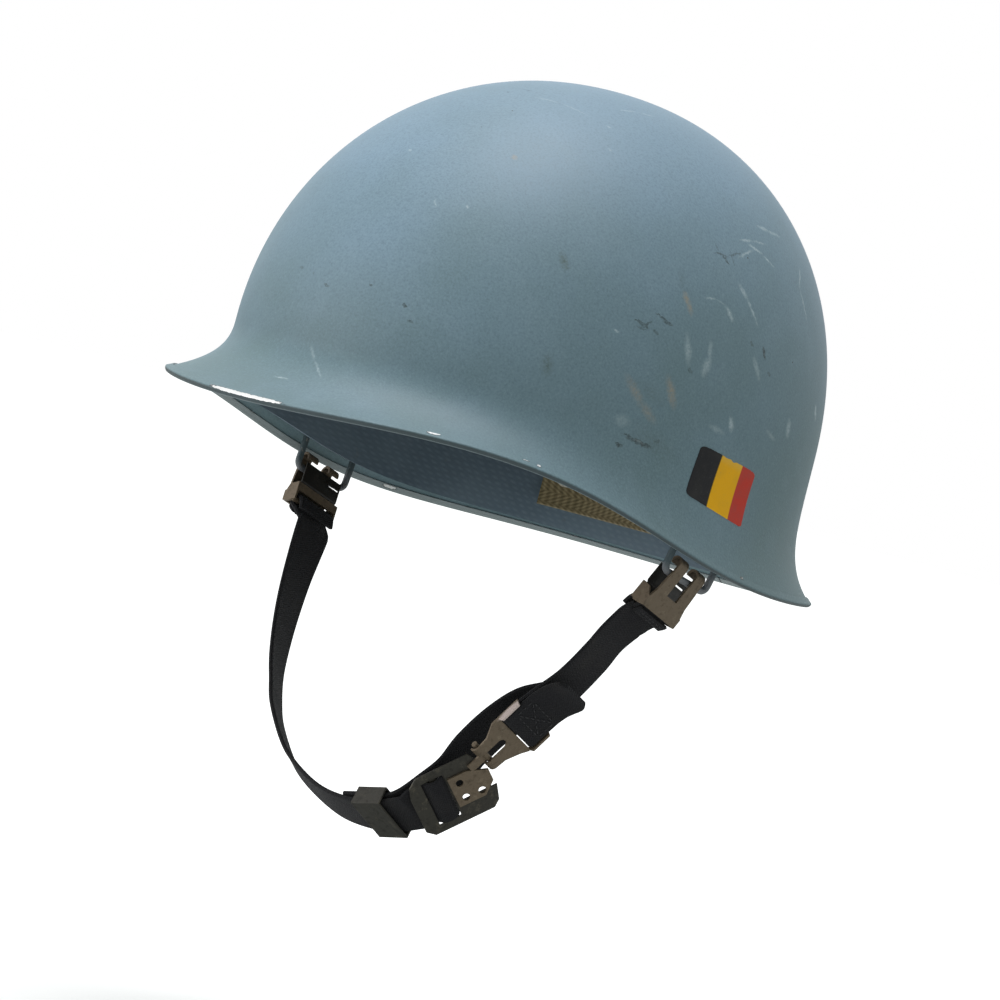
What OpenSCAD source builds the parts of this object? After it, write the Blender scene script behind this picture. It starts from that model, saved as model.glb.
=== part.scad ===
/* [Steel shell] */
// Half width of the dome at the belt line, over the steel
half_width = 108.3; // [104:0.1:112]
// Distance from the middle of the belt line to its front
front_reach = 120.6; // [116:0.1:126]
// Distance from the middle of the belt line to its rear
rear_reach = 121.8; // [117:0.1:127]
// Height of the crown above the lowest point of the rim
crown_height = 181.3; // [175:0.1:188]
// Height of the belt line, where the dome ends and the skirt begins
belt_height = 58.5; // [54:0.5:64]
// Thickness of the pressed steel
steel_wall = 1.1; // [0.9:0.05:1.3]
// How far the rim stands out at the front, as a peak
front_flare = 28.2; // [22:0.1:32]
// How far the rim stands out at the sides
side_flare = 9.1; // [8.5:0.1:10]
// How far the rim stands out at the rear
rear_flare = 14.8; // [12:0.1:18]
// How much higher the rim is at the front than at the rear, halved
rim_rise = 16.71; // [14:0.1:19]

/* [Rim edging] */
// Thickness of the edging strip
edging_wall = 0.5; // [0.4:0.05:0.7]
// Height of the two legs of the edging above the rim
edging_leg = 2.8; // [2.2:0.1:4]
// Gap between the two ends of the edging at the rear
edging_seam = 0.6; // [0.3:0.1:2]

/* [Liner] */
// Space between the steel and the liner over the dome
liner_gap = 3.0; // [2.5:0.1:4]
// Space between the steel and the liner where the steel sits on it
seat_gap = 0.3; // [0.25:0.05:0.4]
// Thickness of the liner wall
liner_wall = 2.0; // [1.5:0.1:2.4]
// Share of the skirt that the liner reaches down
liner_share = 0.92; // [0.88:0.01:0.94]

/* [Suspension] */
// Width of the head webbing
head_web_width = 20; // [16:0.5:24]
// Thickness of the head webbing
head_web_thick = 1.6; // [1.2:0.1:2]
// Height of the rivet line on the liner
rivet_height = 74; // [70:1:80]
// Height of the crossing straps under the crown
cross_height = 150; // [140:1:156]
// Half width of the leather sweatband
sweat_half_width = 80; // [76:0.5:82]
// Half length of the leather sweatband
sweat_half_length = 92; // [88:0.5:93]
// Height of the leather sweatband
sweat_height = 32; // [26:1:36]
// Thickness of the sweatband leather
sweat_thick = 2.2; // [1.5:0.1:3]
// Diameter of the rivet heads
rivet_head = 9; // [7:0.5:11]

/* [Bales] */
// Diameter of the bale wire
bale_wire = 2.8; // [2.4:0.1:3.2]
// Distance between the middles of the two legs of a bale
bale_width = 27; // [25:0.5:29]
// Distance from the hinge of a bale to its lower bar
bale_drop = 18; // [16:0.5:20]
// Radius of the bale's corners, at the middle of the wire
bale_corner = 3.0; // [2.6:0.2:4]
// Tilt of the bales along the rim, lower at the rear
bale_tilt = 12; // [8:1:18]
// Turn of the bales that follows the curve of the side
bale_yaw = 3.5; // [0:0.5:6]
// Inward lean of the bales while the strap is worn
bale_lean = 6; // [0:1:8]
// Sheet thickness of the brackets that hold the bales
bracket_sheet = 0.8; // [0.6:0.1:0.8]
// Length of the bracket's barrel along the hinge
bracket_length = 15; // [12:0.5:15]
// Height of the bracket's plate above the barrel
bracket_height = 11; // [8:0.5:13]

/* [Strap hardware] */
// Width of the chin webbing
web_width = 19.5; // [18:0.5:20]
// Thickness of the chin webbing
web_thick = 1.6; // [1.2:0.1:1.8]
// Sheet thickness of the clips, the hook and the buckle
plate_sheet = 1.0; // [0.8:0.1:1.2]
// Width of a hook clip
clip_width = 23; // [22.6:0.1:24]
// Length of a hook clip from the bale bar to its lower edge
clip_length = 16.7; // [15.5:0.1:19]
// Further inward lean of the clips while the strap is worn
clip_lean = 11.4; // [6:0.2:18]
// Turn of the clips in their own plane, lower at the rear
clip_twist = 6; // [0:1:8]
// Distance of the clips from the middle of the bale bar, toward the front
clip_slide = 1.7; // [0:0.1:2]
// Width of the adjuster buckle
buckle_width = 27; // [26:0.5:30]
// Length of the adjuster buckle
buckle_length = 32.4; // [31.4:0.1:35]
// Length of the keeper along the strap
keeper_length = 14; // [11:0.5:15]

/* [Clearances] */
// Radial play of the bale wire in its bracket
hinge_play = 0.08; // [0.02:0.01:0.1]
// Play between the clip fingers and the bale bar
finger_play = 0.35; // [0.3:0.05:0.5]
// Space between the edging and the steel
edging_play = 0.12; // [0.1:0.01:0.2]
// Space between webbing and the metal it runs over
web_play = 0.25; // [0.2:0.05:0.4]
// Space between the sides of the webbing and the metal beside it
side_play = 0.35; // [0.3:0.05:0.5]

/* [Hidden] */
$fn = 48;

// The dome is a superellipsoid and the skirt flares from it down to a wavy rim.
plan_power = 2.094;
dome_power = 2.1;
plan_shift = 4.0;
crown_shift = 6.44;
rim_mean = 17.0;
rim_two = 2.47;
rim_three = -3.17;
rim_four = -2.08;
shell_steps = 64;
liner_steps = 56;
dome_rows = 11;
skirt_rows = 8;
nudge = 0.01;

// The liner is straight at the sides, which leaves room for the bale brackets.
liner_side_flare = 0;

function unit(v) = v / norm(v);
function blend(a, b, s) = a + (b - a) * s;
function clamp01(s) = max(0, min(1, s));

// Distance of the belt line from its middle in direction f, measured from the front
function plan(f) = pow(pow(abs(sin(f)) / half_width, plan_power)
    + pow(abs(cos(f)) / (cos(f) > 0 ? front_reach : rear_reach), plan_power), -1 / plan_power);
function front_part(f) = pow(max(cos(f), 0), 2.44);
function rear_part(f) = pow(max(-cos(f), 0), 2);
function mix3(f, side, front, rear) = side + (front - side) * front_part(f) + (rear - side) * rear_part(f);
function rim_z(f) = rim_mean + rim_rise * cos(f) + rim_two * cos(2 * f)
    + rim_three * cos(3 * f) + rim_four * cos(4 * f);

function dome_point(f, v) = let (e = pow(cos(90 * v), 2 / dome_power),
    r = plan(f) * pow(sin(90 * v), 2 / dome_power))
    [r * sin(f), plan_shift - r * cos(f) + crown_shift * pow(e, 1.5),
     belt_height + (crown_height - belt_height) * e];
function skirt_point(f, t, side) = let (
    r = plan(f) + mix3(f, side, front_flare, rear_flare) * pow(t, mix3(f, 3.24, 2.15, 5.8)))
    [r * sin(f), plan_shift - r * cos(f), blend(belt_height, rim_z(f), t)];
// The outer skin: v runs from 0 at the crown over 1 at the belt line to 2 at the rim
function skin(f, v, side) = v <= 1 ? dome_point(f, v) : skirt_point(f, v - 1, side);
function normal_at(f, v, side) = unit(cross(
    skin(f + nudge * 50, v, side) - skin(f - nudge * 50, v, side),
    skin(f, max(v - nudge, nudge), side) - skin(f, v + nudge, side)));
function inset(f, v, side, depth) = skin(f, v, side) - depth * normal_at(f, v, side);
function crown_point(depth) = [0, plan_shift + crown_shift, crown_height - depth];

dome_levels = [for (i = [1:dome_rows]) i / dome_rows];
skirt_levels = [for (j = [1:skirt_rows]) 1 + sin(90 * j / skirt_rows)];
shell_levels = concat(dome_levels, skirt_levels);
liner_levels = concat(dome_levels, [for (v = skirt_levels) 1 + (v - 1) * liner_share]);

// Space between steel and liner, which closes at the lower edge in front and behind
function liner_space(f, v) = liner_gap
    - (liner_gap - seat_gap) * pow(clamp01((v - 1) / liner_share), 4) * pow(abs(cos(f)), 2);

// A closed bowl between two sets of rings, each with its own crown point
module bowl(outer, inner, outer_top, inner_top) {
    rows = len(outer);
    n = len(outer[0]);
    points = concat([outer_top], [for (ring = outer) each ring],
                    [inner_top], [for (ring = inner) each ring]);
    inner_base = 1 + rows * n;
    function at(base, i, j) = base + 1 + i * n + (j % n);
    faces = concat(
        [for (j = [0:n - 1]) [0, at(0, 0, j + 1), at(0, 0, j)]],
        [for (i = [0:rows - 2], j = [0:n - 1], k = [0, 1]) k == 0
            ? [at(0, i, j), at(0, i, j + 1), at(0, i + 1, j)]
            : [at(0, i, j + 1), at(0, i + 1, j + 1), at(0, i + 1, j)]],
        [for (j = [0:n - 1]) [inner_base, at(inner_base, 0, j), at(inner_base, 0, j + 1)]],
        [for (i = [0:rows - 2], j = [0:n - 1], k = [0, 1]) k == 0
            ? [at(inner_base, i, j), at(inner_base, i + 1, j), at(inner_base, i, j + 1)]
            : [at(inner_base, i, j + 1), at(inner_base, i + 1, j), at(inner_base, i + 1, j + 1)]],
        [for (j = [0:n - 1], k = [0, 1]) k == 0
            ? [at(0, rows - 1, j), at(0, rows - 1, j + 1), at(inner_base, rows - 1, j)]
            : [at(0, rows - 1, j + 1), at(inner_base, rows - 1, j + 1), at(inner_base, rows - 1, j)]]);
    polyhedron(points, faces, convexity = 6);
}

// Skins a list of rings with the same number of points, closed into a loop or capped
module sweep(rings, loop = false) {
    n = len(rings[0]);
    count = len(rings);
    last = loop ? count - 1 : count - 2;
    function at(i, j) = (i % count) * n + (j % n);
    sides = [for (i = [0:last], j = [0:n - 1], k = [0, 1]) k == 0
        ? [at(i, j), at(i + 1, j + 1), at(i, j + 1)]
        : [at(i, j), at(i + 1, j), at(i + 1, j + 1)]];
    caps = loop ? [] : concat([for (j = [1:n - 2]) [at(0, 0), at(0, j), at(0, j + 1)]],
        [for (j = [1:n - 2]) [at(count - 1, 0), at(count - 1, j + 1), at(count - 1, j)]]);
    polyhedron([for (ring = rings) each ring], concat(sides, caps), convexity = 6);
}

// A smooth route through the given rows, with a few steps between neighbours
function between(p, i, s) = let (n = len(p), a = p[max(i - 1, 0)], b = p[i],
    c = p[min(i + 1, n - 1)], d = p[min(i + 2, n - 1)])
    0.5 * (2 * b + s * (c - a) + s * s * (2 * a - 5 * b + 4 * c - d)
           + s * s * s * (3 * b - a - 3 * c + d));
function smooth_route(p, steps) = concat(
    [for (i = [0:len(p) - 2], k = [0:steps - 1]) between(p, i, k / steps)], [p[len(p) - 1]]);

// Rings of a flat band: each row is x, y, z and the half width, across its width direction
function band_rings(rows, across, thick) = let (n = len(rows))
    [for (i = [0:n - 1]) let (
        row = rows[i], here = [row[0], row[1], row[2]],
        before = rows[max(i - 1, 0)], after = rows[min(i + 1, n - 1)],
        t = unit([after[0] - before[0], after[1] - before[1], after[2] - before[2]]),
        w = unit(across[i] - t * (across[i] * t)), o = cross(t, w), h = row[3])
        [here - w * h - o * thick / 2, here + w * h - o * thick / 2,
         here + w * h + o * thick / 2, here - w * h + o * thick / 2]];

// Turns a vector about one axis
function turn_x(v, a) = [v[0], v[1] * cos(a) - v[2] * sin(a), v[1] * sin(a) + v[2] * cos(a)];
function turn_y(v, a) = [v[0] * cos(a) + v[2] * sin(a), v[1], v[2] * cos(a) - v[0] * sin(a)];
function turn_z(v, a) = [v[0] * cos(a) - v[1] * sin(a), v[0] * sin(a) + v[1] * cos(a), v[2]];
function mirror_x(v) = [-v[0], v[1], v[2]];

// The hinge of the left bale: just inside the wall, a little above the rim
hinge_azimuth = 93.4;
hinge_level = 1.756;
barrel_radius = bale_wire / 2 + hinge_play + bracket_sheet;
wall_space = 0.55;
wall_inner = inset(hinge_azimuth, hinge_level, side_flare, steel_wall + wall_space);
wall_normal = normal_at(hinge_azimuth, hinge_level, side_flare);
hinge = wall_inner - barrel_radius * wall_normal;
wall_lean = asin(wall_normal[2]);

function from_hinge(v) = hinge + turn_z(turn_x(v, -bale_tilt), bale_yaw);
function from_bale(v) = from_hinge(turn_y(v, bale_lean));
function from_clip(v) = from_bale(turn_y(turn_x(v - [0, clip_slide, 0], -clip_twist), clip_lean)
                                  + [0, 0, -bale_drop]);
bale_axis = turn_z(turn_x([0, 1, 0], -bale_tilt), bale_yaw);
clip_side = from_clip([0, 1, 0]) - from_clip([0, 0, 0]);

// Local frames: X points outward, Y across the strap to the rear, Z along it to the bale
module hinge_frame() {
    translate(hinge) rotate([0, 0, bale_yaw]) rotate([-bale_tilt, 0, 0]) children();
}
module bale_frame() {
    hinge_frame() rotate([0, bale_lean, 0]) children();
}
module clip_frame() {
    bale_frame() translate([0, 0, -bale_drop]) rotate([0, clip_lean, 0])
        rotate([-clip_twist, 0, 0]) translate([0, -clip_slide, 0]) children();
}
module plate_frame(o, along, across) {
    up = -unit(along);
    w = unit(across - up * (across * up));
    x = cross(w, up);
    multmatrix([[x[0], w[0], up[0], o[0]], [x[1], w[1], up[1], o[1]], [x[2], w[2], up[2], o[2]]])
        children();
}
function from_plate(o, along, across, v) = let (up = -unit(along),
    w = unit(across - up * (across * up))) o + cross(w, up) * v[0] + w * v[1] + up * v[2];

// A plate seen from outside as a shape across the strap, and a strip seen from the side
module face_plate(thick) {
    rotate([90, 0, 90]) linear_extrude(thick) children();
}
module side_strip(width) {
    rotate([90, 0, 0]) linear_extrude(width, center = true) children();
}
module rounded(w, h, r) {
    union() {
        square([w - 2 * r, h], center = true);
        square([w, h - 2 * r], center = true);
        for (x = [-1, 1], y = [-1, 1]) translate([x * (w / 2 - r), y * (h / 2 - r)]) circle(r);
    }
}

module steel_shell() {
    outer = [for (v = shell_levels) [for (j = [0:shell_steps - 1])
        skin(360 * j / shell_steps, v, side_flare)]];
    inner = [for (v = shell_levels) [for (j = [0:shell_steps - 1])
        inset(360 * j / shell_steps, v, side_flare, steel_wall)]];
    color("lightslategray") bowl(outer, inner, crown_point(0), crown_point(steel_wall));
}

// The edging is a channel that grips the rim, with its two ends at the rear.
function rim_run(f) = norm(skirt_point(f, 1, side_flare) - skirt_point(f, 0.98, side_flare)) / 0.02;
function edging_ring(f) = let (
    p = inset(f, 2, side_flare, steel_wall / 2), n = normal_at(f, 2, side_flare),
    down = unit(skirt_point(f, 1, side_flare) - skirt_point(f, 0.98, side_flare)),
    d = unit(down - n * (down * n)), gap = steel_wall / 2 + edging_play, out = gap + edging_wall,
    legs = [for (share = [1, 0.5]) 2 - share * edging_leg / rim_run(f)])
    concat([for (v = legs) inset(f, v, side_flare, steel_wall / 2 - out)],
        [for (q = [[out, edging_play + edging_wall], [-out, edging_play + edging_wall]])
            p + n * q[0] + d * q[1]],
        [for (v = [legs[1], legs[0]]) inset(f, v, side_flare, steel_wall / 2 + out)],
        [for (v = legs) inset(f, v, side_flare, steel_wall / 2 + gap)],
        [for (q = [[-gap, edging_play], [gap, edging_play]]) p + n * q[0] + d * q[1]],
        [for (v = [legs[1], legs[0]]) inset(f, v, side_flare, steel_wall / 2 - gap)]);
module rim_edging() {
    half_seam = asin(edging_seam / 2 / rear_reach);
    span = 360 - 2 * half_seam;
    color("slategray")
        sweep([for (j = [0:shell_steps]) edging_ring(180 + half_seam + span * j / shell_steps)]);
}

// A transfer of three upright stripes on the wearer's left, parallel to the rim
decal_front = 85.7;
decal_rear = 104;
decal_slant = 1.6;
decal_borders = [0, 0.35, 0.73, 1];
decal_thick = 0.2;
decal_lift = 0.2;
decal_top = [1.06, 1.16];
decal_bottom = [1.515, 1.59];
function decal_level(s, down) = blend(blend(decal_top[0], decal_top[1], s),
    blend(decal_bottom[0], decal_bottom[1], s), down);
function decal_point(s, down, lift) = inset(blend(decal_front, decal_rear, s) - decal_slant * down,
    decal_level(s, down), side_flare, -lift);
function decal_ring(s) = let (rows = 5) concat(
    [for (k = [0:rows]) decal_point(s, k / rows, decal_lift + decal_thick)],
    [for (k = [rows:-1:0]) decal_point(s, k / rows, decal_lift)]);
module side_decal() {
    color("goldenrod") for (i = [0:2])
        sweep([for (k = [0:3]) decal_ring(blend(decal_borders[i], decal_borders[i + 1],
                                                0.01 + 0.98 * k / 3))]);
}

// A bent sheet, spot welded inside the rim, whose barrel carries the bale
module bale_bracket() {
    hinge_frame() difference() {
        union() {
            rotate([90, 0, 0]) cylinder(h = bracket_length, r = barrel_radius, center = true);
            rotate([0, -wall_lean, 0])
                translate([barrel_radius - bracket_sheet, -bracket_length / 2, 0])
                    cube([bracket_sheet, bracket_length, bracket_height]);
        }
        rotate([90, 0, 0])
            cylinder(h = bracket_length + 2, r = bale_wire / 2 + hinge_play, center = true);
    }
}
module bale_bracket_left() {
    color("slategray") bale_bracket();
}
module bale_bracket_right() {
    color("slategray") mirror([1, 0, 0]) bale_bracket();
}

// A closed loop of wire: four straight runs and four quarter turns
module wire_run(length) {
    cylinder(h = length, d = bale_wire, center = true);
}
module wire_corner() {
    rotate_extrude(angle = 90) translate([bale_corner, 0]) circle(d = bale_wire);
}
module bale() {
    half = bale_width / 2;
    inner = half - bale_corner;
    bale_frame() union() {
        for (z = [0, -bale_drop]) translate([0, 0, z]) rotate([90, 0, 0]) wire_run(2 * inner);
        for (y = [-half, half]) translate([0, y, -bale_drop / 2])
            wire_run(bale_drop - 2 * bale_corner);
        for (side = [0, 1], low = [0, 1]) mirror([0, side, 0])
            translate([0, inner, low ? bale_corner - bale_drop : -bale_corner])
                mirror([0, 0, low]) rotate([0, 90, 0]) mirror([1, 0, 0]) wire_corner();
    }
}
module bale_left() {
    color("slategray") bale();
}
module bale_right() {
    color("slategray") mirror([1, 0, 0]) bale();
}

module liner_shell() {
    outer = [for (v = liner_levels) [for (j = [0:liner_steps - 1]) let (f = 360 * j / liner_steps)
        inset(f, v, liner_side_flare, steel_wall + liner_space(f, v))]];
    inner = [for (v = liner_levels) [for (j = [0:liner_steps - 1]) let (f = 360 * j / liner_steps)
        inset(f, v, liner_side_flare, steel_wall + liner_space(f, v) + liner_wall)]];
    depth = steel_wall + liner_gap;
    color("steelblue") bowl(outer, inner, crown_point(depth), crown_point(depth + liner_wall));
}

// Six rivets hold the suspension; their level on the dome follows from their height.
rivet_count = 6;
rivet_level = acos(pow((rivet_height - belt_height) / (crown_height - belt_height),
                       dome_power / 2)) / 90;
liner_inside = steel_wall + liner_gap + liner_wall;
shank = 3;
washer_sheet = 0.8;
head_thick = 1.2;
module on_wall(f, v, depth) {
    n = normal_at(f, v, liner_side_flare);
    translate(inset(f, v, liner_side_flare, depth))
        rotate([90 - asin(n[2]), 0, atan2(n[0], -n[1])]) children();
}
wall_play = 0.1;

// The ends of the crown straps lie on the curved wall, then the head webbing, then a washer.
wall_bow = 1.4;
flat_half = 10;
strap_depth = liner_inside + wall_play + wall_bow + head_web_thick / 2;
web_depth = strap_depth + head_web_thick + wall_play;
washer_depth = web_depth + head_web_thick / 2 + wall_play;
module liner_rivets() {
    grip = washer_depth + washer_sheet + wall_play - liner_inside + liner_wall;
    color("gray") for (i = [0:rivet_count - 1])
        on_wall(360 * i / rivet_count, rivet_level, liner_inside - liner_wall) union() {
            translate([0, 0, wall_play]) cylinder(h = head_thick, d = rivet_head);
            translate([0, 0, -grip]) cylinder(h = grip + wall_play, d = shank);
            translate([0, 0, -grip - head_thick]) cylinder(h = head_thick, d = rivet_head * 0.7);
        }
}
module web_washers() {
    color("silver") for (i = [0:rivet_count - 1])
        on_wall(360 * i / rivet_count, rivet_level, washer_depth)
            translate([0, 0, -washer_sheet]) difference() {
                linear_extrude(washer_sheet)
                    polygon([[-9, -8], [9, -8], [9, -4], [5, 8], [-5, 8], [-9, -4]]);
                translate([0, 0, -1]) cylinder(h = washer_sheet + 2, d = shank + 0.2);
            }
}

// The head webbing lies flat at the rivets and runs straight between them.
function rivet_normal(i) = normal_at(360 * i / rivet_count, rivet_level, liner_side_flare);
function web_corner(i) = inset(360 * i / rivet_count, rivet_level, liner_side_flare, web_depth);
function wall_side(n) = unit(cross([0, 0, 1], n));
function wall_up(n) = cross(n, wall_side(n));
function flat_end(i, side) = web_corner(i) + wall_side(rivet_normal(i)) * side * flat_half;
function chord_point(i, s) = blend(flat_end(i, 1), flat_end(i + 1, -1), s);
module headband_web() {
    steps = 4;
    drop = head_web_width / 2;
    half = head_web_thick / 2;
    rings = [for (i = [0:rivet_count - 1], k = [0:steps]) let (
        p = chord_point(i, k / steps), n = unit(blend(rivet_normal(i), rivet_normal(i + 1), k / steps)),
        u = wall_up(n), o = n * half)
        [p - o - u * drop, p - o + u * drop, p + o + u * drop, p + o - u * drop]];
    color("darkkhaki") sweep(rings, loop = true);
}

// Three straps cross under the crown, one above the other, and end under the rivets.
cross_power = 1.5;
cross_gap = 0.3;
strap_foot = [-8, 0, 11.5];
function strap_end(i) = [for (up = strap_foot)
    inset(360 * i / rivet_count, rivet_level, liner_side_flare, strap_depth)
    + wall_up(rivet_normal(i)) * up];
module crown_webbing() {
    steps = 16;
    color("darkkhaki") for (i = [0:rivet_count / 2 - 1]) {
        foot_a = strap_end(i);
        foot_b = strap_end(i + rivet_count / 2);
        a = foot_a[2];
        b = foot_b[2];
        mid = (a + b) / 2;
        top = cross_height + i * (head_web_thick + cross_gap);
        arch = [for (k = [1:steps - 1]) let (s = blend(-90, 90, k / steps),
            g = sign(s) * pow(abs(sin(s)), 2 / cross_power),
            e = pow(max(cos(s), 0), 2 / cross_power), p = mid + (b - a) / 2 * g)
            [p[0], p[1], a[2] + (top - a[2]) * e]];
        rows = [for (p = concat(foot_a, arch, [foot_b[2], foot_b[1], foot_b[0]]))
            [p[0], p[1], p[2], head_web_width / 2]];
        side = unit(cross(b - a, [0, 0, 1]));
        foot_side = [for (side = [0, 1]) wall_side(rivet_normal(i + side * rivet_count / 2))];
        count = len(rows) - 1;
        across = [for (k = [0:count]) k < count / 2
            ? blend(foot_side[0], side, clamp01((k - 2) / 6))
            : blend(-foot_side[1], side, clamp01((count - k - 2) / 6))];
        sweep(band_rings(rows, across, head_web_thick));
    }
}

// A leather ring clipped to the head webbing
sweat_drop = 4;
sweat_top = rivet_height - sweat_drop;
sweat_middle = plan_shift + 0.6;
module sweatband() {
    steps = 48;
    half = sweat_thick / 2;
    rings = [for (j = [0:steps - 1]) let (f = 360 * j / steps, s = sin(f), c = cos(f))
        [for (q = [[-half, -sweat_height], [-half, 0], [half, 0], [half, -sweat_height]])
            [(sweat_half_width + q[0]) * s, sweat_middle - (sweat_half_length + q[0]) * c,
             sweat_top + q[1]]]];
    color("sienna") sweep(rings, loop = true);
}

// Spring clips join the sweatband to the webbing in the middle of each straight run.
clip_sheet = 0.5;
sweat_clip_width = 9;
leather_play = 0.4;
module sweatband_clips() {
    color("silver") for (i = [0:rivet_count - 1]) {
        p = chord_point(i, 0.5);
        a = flat_end(i, 1);
        b = flat_end(i + 1, -1);
        out = unit([b[1] - a[1], a[0] - b[0], 0]);
        f = atan2(out[0] * sweat_half_width, -out[1] * sweat_half_length);
        sweat = [sweat_half_width * sin(f), sweat_middle - sweat_half_length * cos(f), 0];
        reach = (p - sweat) * out;
        seat = sweat + reach * out;
        web_out = head_web_thick / 2 + wall_play;
        leather_in = -reach - sweat_thick / 2 - leather_play;
        lift = p[2] + head_web_width / 2 + wall_play;
        low = p[2] + 3;
        leather_low = sweat_top - 10;
        translate([seat[0], seat[1], 0]) rotate([0, 0, atan2(out[1], out[0])])
            side_strip(sweat_clip_width) polygon([
                [web_out, low], [web_out + clip_sheet, low], [web_out + clip_sheet, lift + clip_sheet],
                [leather_in - clip_sheet, lift + clip_sheet], [leather_in - clip_sheet, leather_low],
                [leather_in, leather_low], [leather_in, lift], [web_out, lift]]);
    }
}

// A band behind the neck, buttoned to two studs on the liner's rear
nape_azimuth = 38;
nape_level = 1.54;
nape_height = 22;
nape_space = 0.9;
nape_depth = liner_inside + web_thick / 2 + nape_space;
nape_end = 5;
function nape_point(f) = inset(180 + f, nape_level, liner_side_flare, nape_depth) - [0, 0, 3];
module nape_strap() {
    inner = nape_azimuth - 2 * nape_end;
    ends = [for (k = [0:2]) nape_azimuth - k * nape_end];
    steps = 10;
    sag = 4;
    middle = [for (k = [1:steps - 1]) let (s = k / steps)
        blend(nape_point(-inner), nape_point(inner), s) + [0, sag * sin(180 * s), 0]];
    rows = [for (p = concat([for (f = ends) nape_point(-f)], middle,
                            [for (k = [2:-1:0]) nape_point(ends[k])]))
        [p[0], p[1], p[2], nape_height / 2]];
    color("darkkhaki") sweep(band_rings(rows, [for (row = rows) [0, 0, 1]], web_thick));
}
module nape_studs() {
    grip = liner_wall + web_thick + 2 * nape_space + wall_play;
    color("silver") for (side = [-1, 1])
        on_wall(180 + side * (nape_azimuth - nape_end), nape_level, liner_inside - liner_wall) union() {
            translate([0, 0, -grip - 0.6]) cylinder(h = grip + 1, d = shank);
            translate([0, 0, -grip - 2]) cylinder(h = 1.4, d = rivet_head);
        }
}

// A stamped clip whose two long fingers loop over the bale bar, with a bar for the webbing
finger_inner = bale_wire / 2 + finger_play;
finger_rise = 3.6;
finger_reach = 8.9;
finger_notch = 6.8;
finger_wrap = 200;
flange_sheet = 1.0;
clip_depth = 4.6;
clip_bar_radius = 1.2;
clip_bar = [-2.8, 0, 0.5 - clip_length];
slot_low = -8.4;
module hook_clip() {
    half = clip_width / 2;
    finger = finger_reach - finger_notch / 2;
    clip_frame() union() {
        difference() {
            translate([finger_inner, 0, 0]) face_plate(plate_sheet)
                polygon([[-half, -clip_length], [half, -clip_length], [half - 0.4, -12.4],
                         [9.8, slot_low], [9.2, -1.6], [finger_reach, 0], [finger_reach, finger_rise],
                         [-finger_reach, finger_rise], [-finger_reach, 0], [-9.2, -1.6],
                         [-9.8, slot_low], [0.4 - half, -12.4]]);
            translate([finger_inner - 1, -finger_notch / 2, slot_low])
                cube([plate_sheet + 2, finger_notch, finger_rise - slot_low + 1]);
        }
        for (y = [-1, 1]) translate([0, y * (finger_notch + finger) / 2, finger_rise])
            rotate([90, 0, 0]) rotate_extrude(angle = finger_wrap)
                translate([finger_inner, -finger / 2]) square([plate_sheet, finger]);
        for (y = [-1, 1]) translate([0, y * (half - flange_sheet / 2), 0]) side_strip(flange_sheet)
            polygon([[finger_inner, -12], [finger_inner + plate_sheet, -12.4],
                     [finger_inner + plate_sheet, -clip_length], [-1, -clip_length - 0.6],
                     [-clip_depth, -clip_length], [-clip_depth, -9.1], [-0.4, -9.4]]);
        translate([-clip_depth, -half, -12.6]) cube([plate_sheet, clip_width, 3.5]);
        translate(clip_bar) rotate([90, 0, 0])
            cylinder(h = clip_width - 1, r = clip_bar_radius, center = true);
    }
}
module hook_clip_left() {
    color("#6b5d51") hook_clip();
}
module hook_clip_right() {
    color("#6b5d51") mirror([1, 0, 0]) hook_clip();
}

// A spring plate that closes the mouth of the loops behind the bale bar
tongue_play = 0.3;
tongue_sheet = 0.5;
tongue_slit = [3.5, 6, 0.6];
module clip_tongue() {
    seat = plate_sheet - clip_depth;
    width = clip_width - 2 * (flange_sheet + tongue_play);
    clip_frame() difference() {
        side_strip(width) polygon([
            [seat, -12.6], [seat + tongue_sheet, -12.6], [seat + tongue_sheet, -9], [-3.9, -7.8],
            [-3.9, 0.3], [-3.9 - tongue_sheet, 0.3], [-3.9 - tongue_sheet, -8], [seat, -9.1]]);
        translate([-6, tongue_slit[0], -3.4]) cube([4, tongue_slit[1], tongue_slit[2]]);
    }
}
module clip_tongue_left() {
    color("#4a4239") clip_tongue();
}
module clip_tongue_right() {
    color("#4a4239") mirror([1, 0, 0]) clip_tongue();
}

// Webbing routes, chosen by hand along the worn strap: x, y, z and a sideways lean of its width
left_route = [[95.4, -4.4, -15.6, -0.12], [92.5, -9.2, -23.6, -0.22], [90.3, -13.4, -32.8, -0.22],
              [86.7, -19.7, -44.7, -0.2], [82.6, -25.4, -53.8, -0.1]];
chin_route = [[51, -47.6, -107, 0], [37.5, -51, -112, 0], [20, -51.5, -113.5, -0.05],
              [4, -50.5, -112, -0.1], [-16, -47.5, -106.5, -0.25], [-30, -44.5, -100, -0.35],
              [-46.5, -39, -89, -0.42], [-56, -34.5, -80, -0.45], [-64, -30, -71, -0.4],
              [-71, -25, -60, -0.3], [-78, -19, -48, -0.2], [-85, -12, -35, -0.1],
              [-90.5, -5.5, -22, 0], [-94.2, -1.2, -15.6, 0]];
inner_route = [[83, -11.5, -47.5, 0], [79.1, -17.6, -51.8, 0], [71.4, -23.6, -57, 0], [64, -29, -67, 0],
               [58.7, -34.2, -78.7, 0], [56, -38, -89, 0], [52, -42.5, -97, 0],
               [47.2, -46.7, -104.6, 0], [42.5, -48.7, -107.8, 0], [36.6, -49.4, -108.8, 0],
               [22.3, -50.3, -111.9, 0]];
// The width of the webbing runs to the rear and down, more so away from the clips.
function width_lean(z) = -0.33 - 0.2 * clamp01((-12 - z) / 20);
function across_at(row) = [len(row) > 3 ? row[3] : 0, 0.9, width_lean(row[2])];

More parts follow.
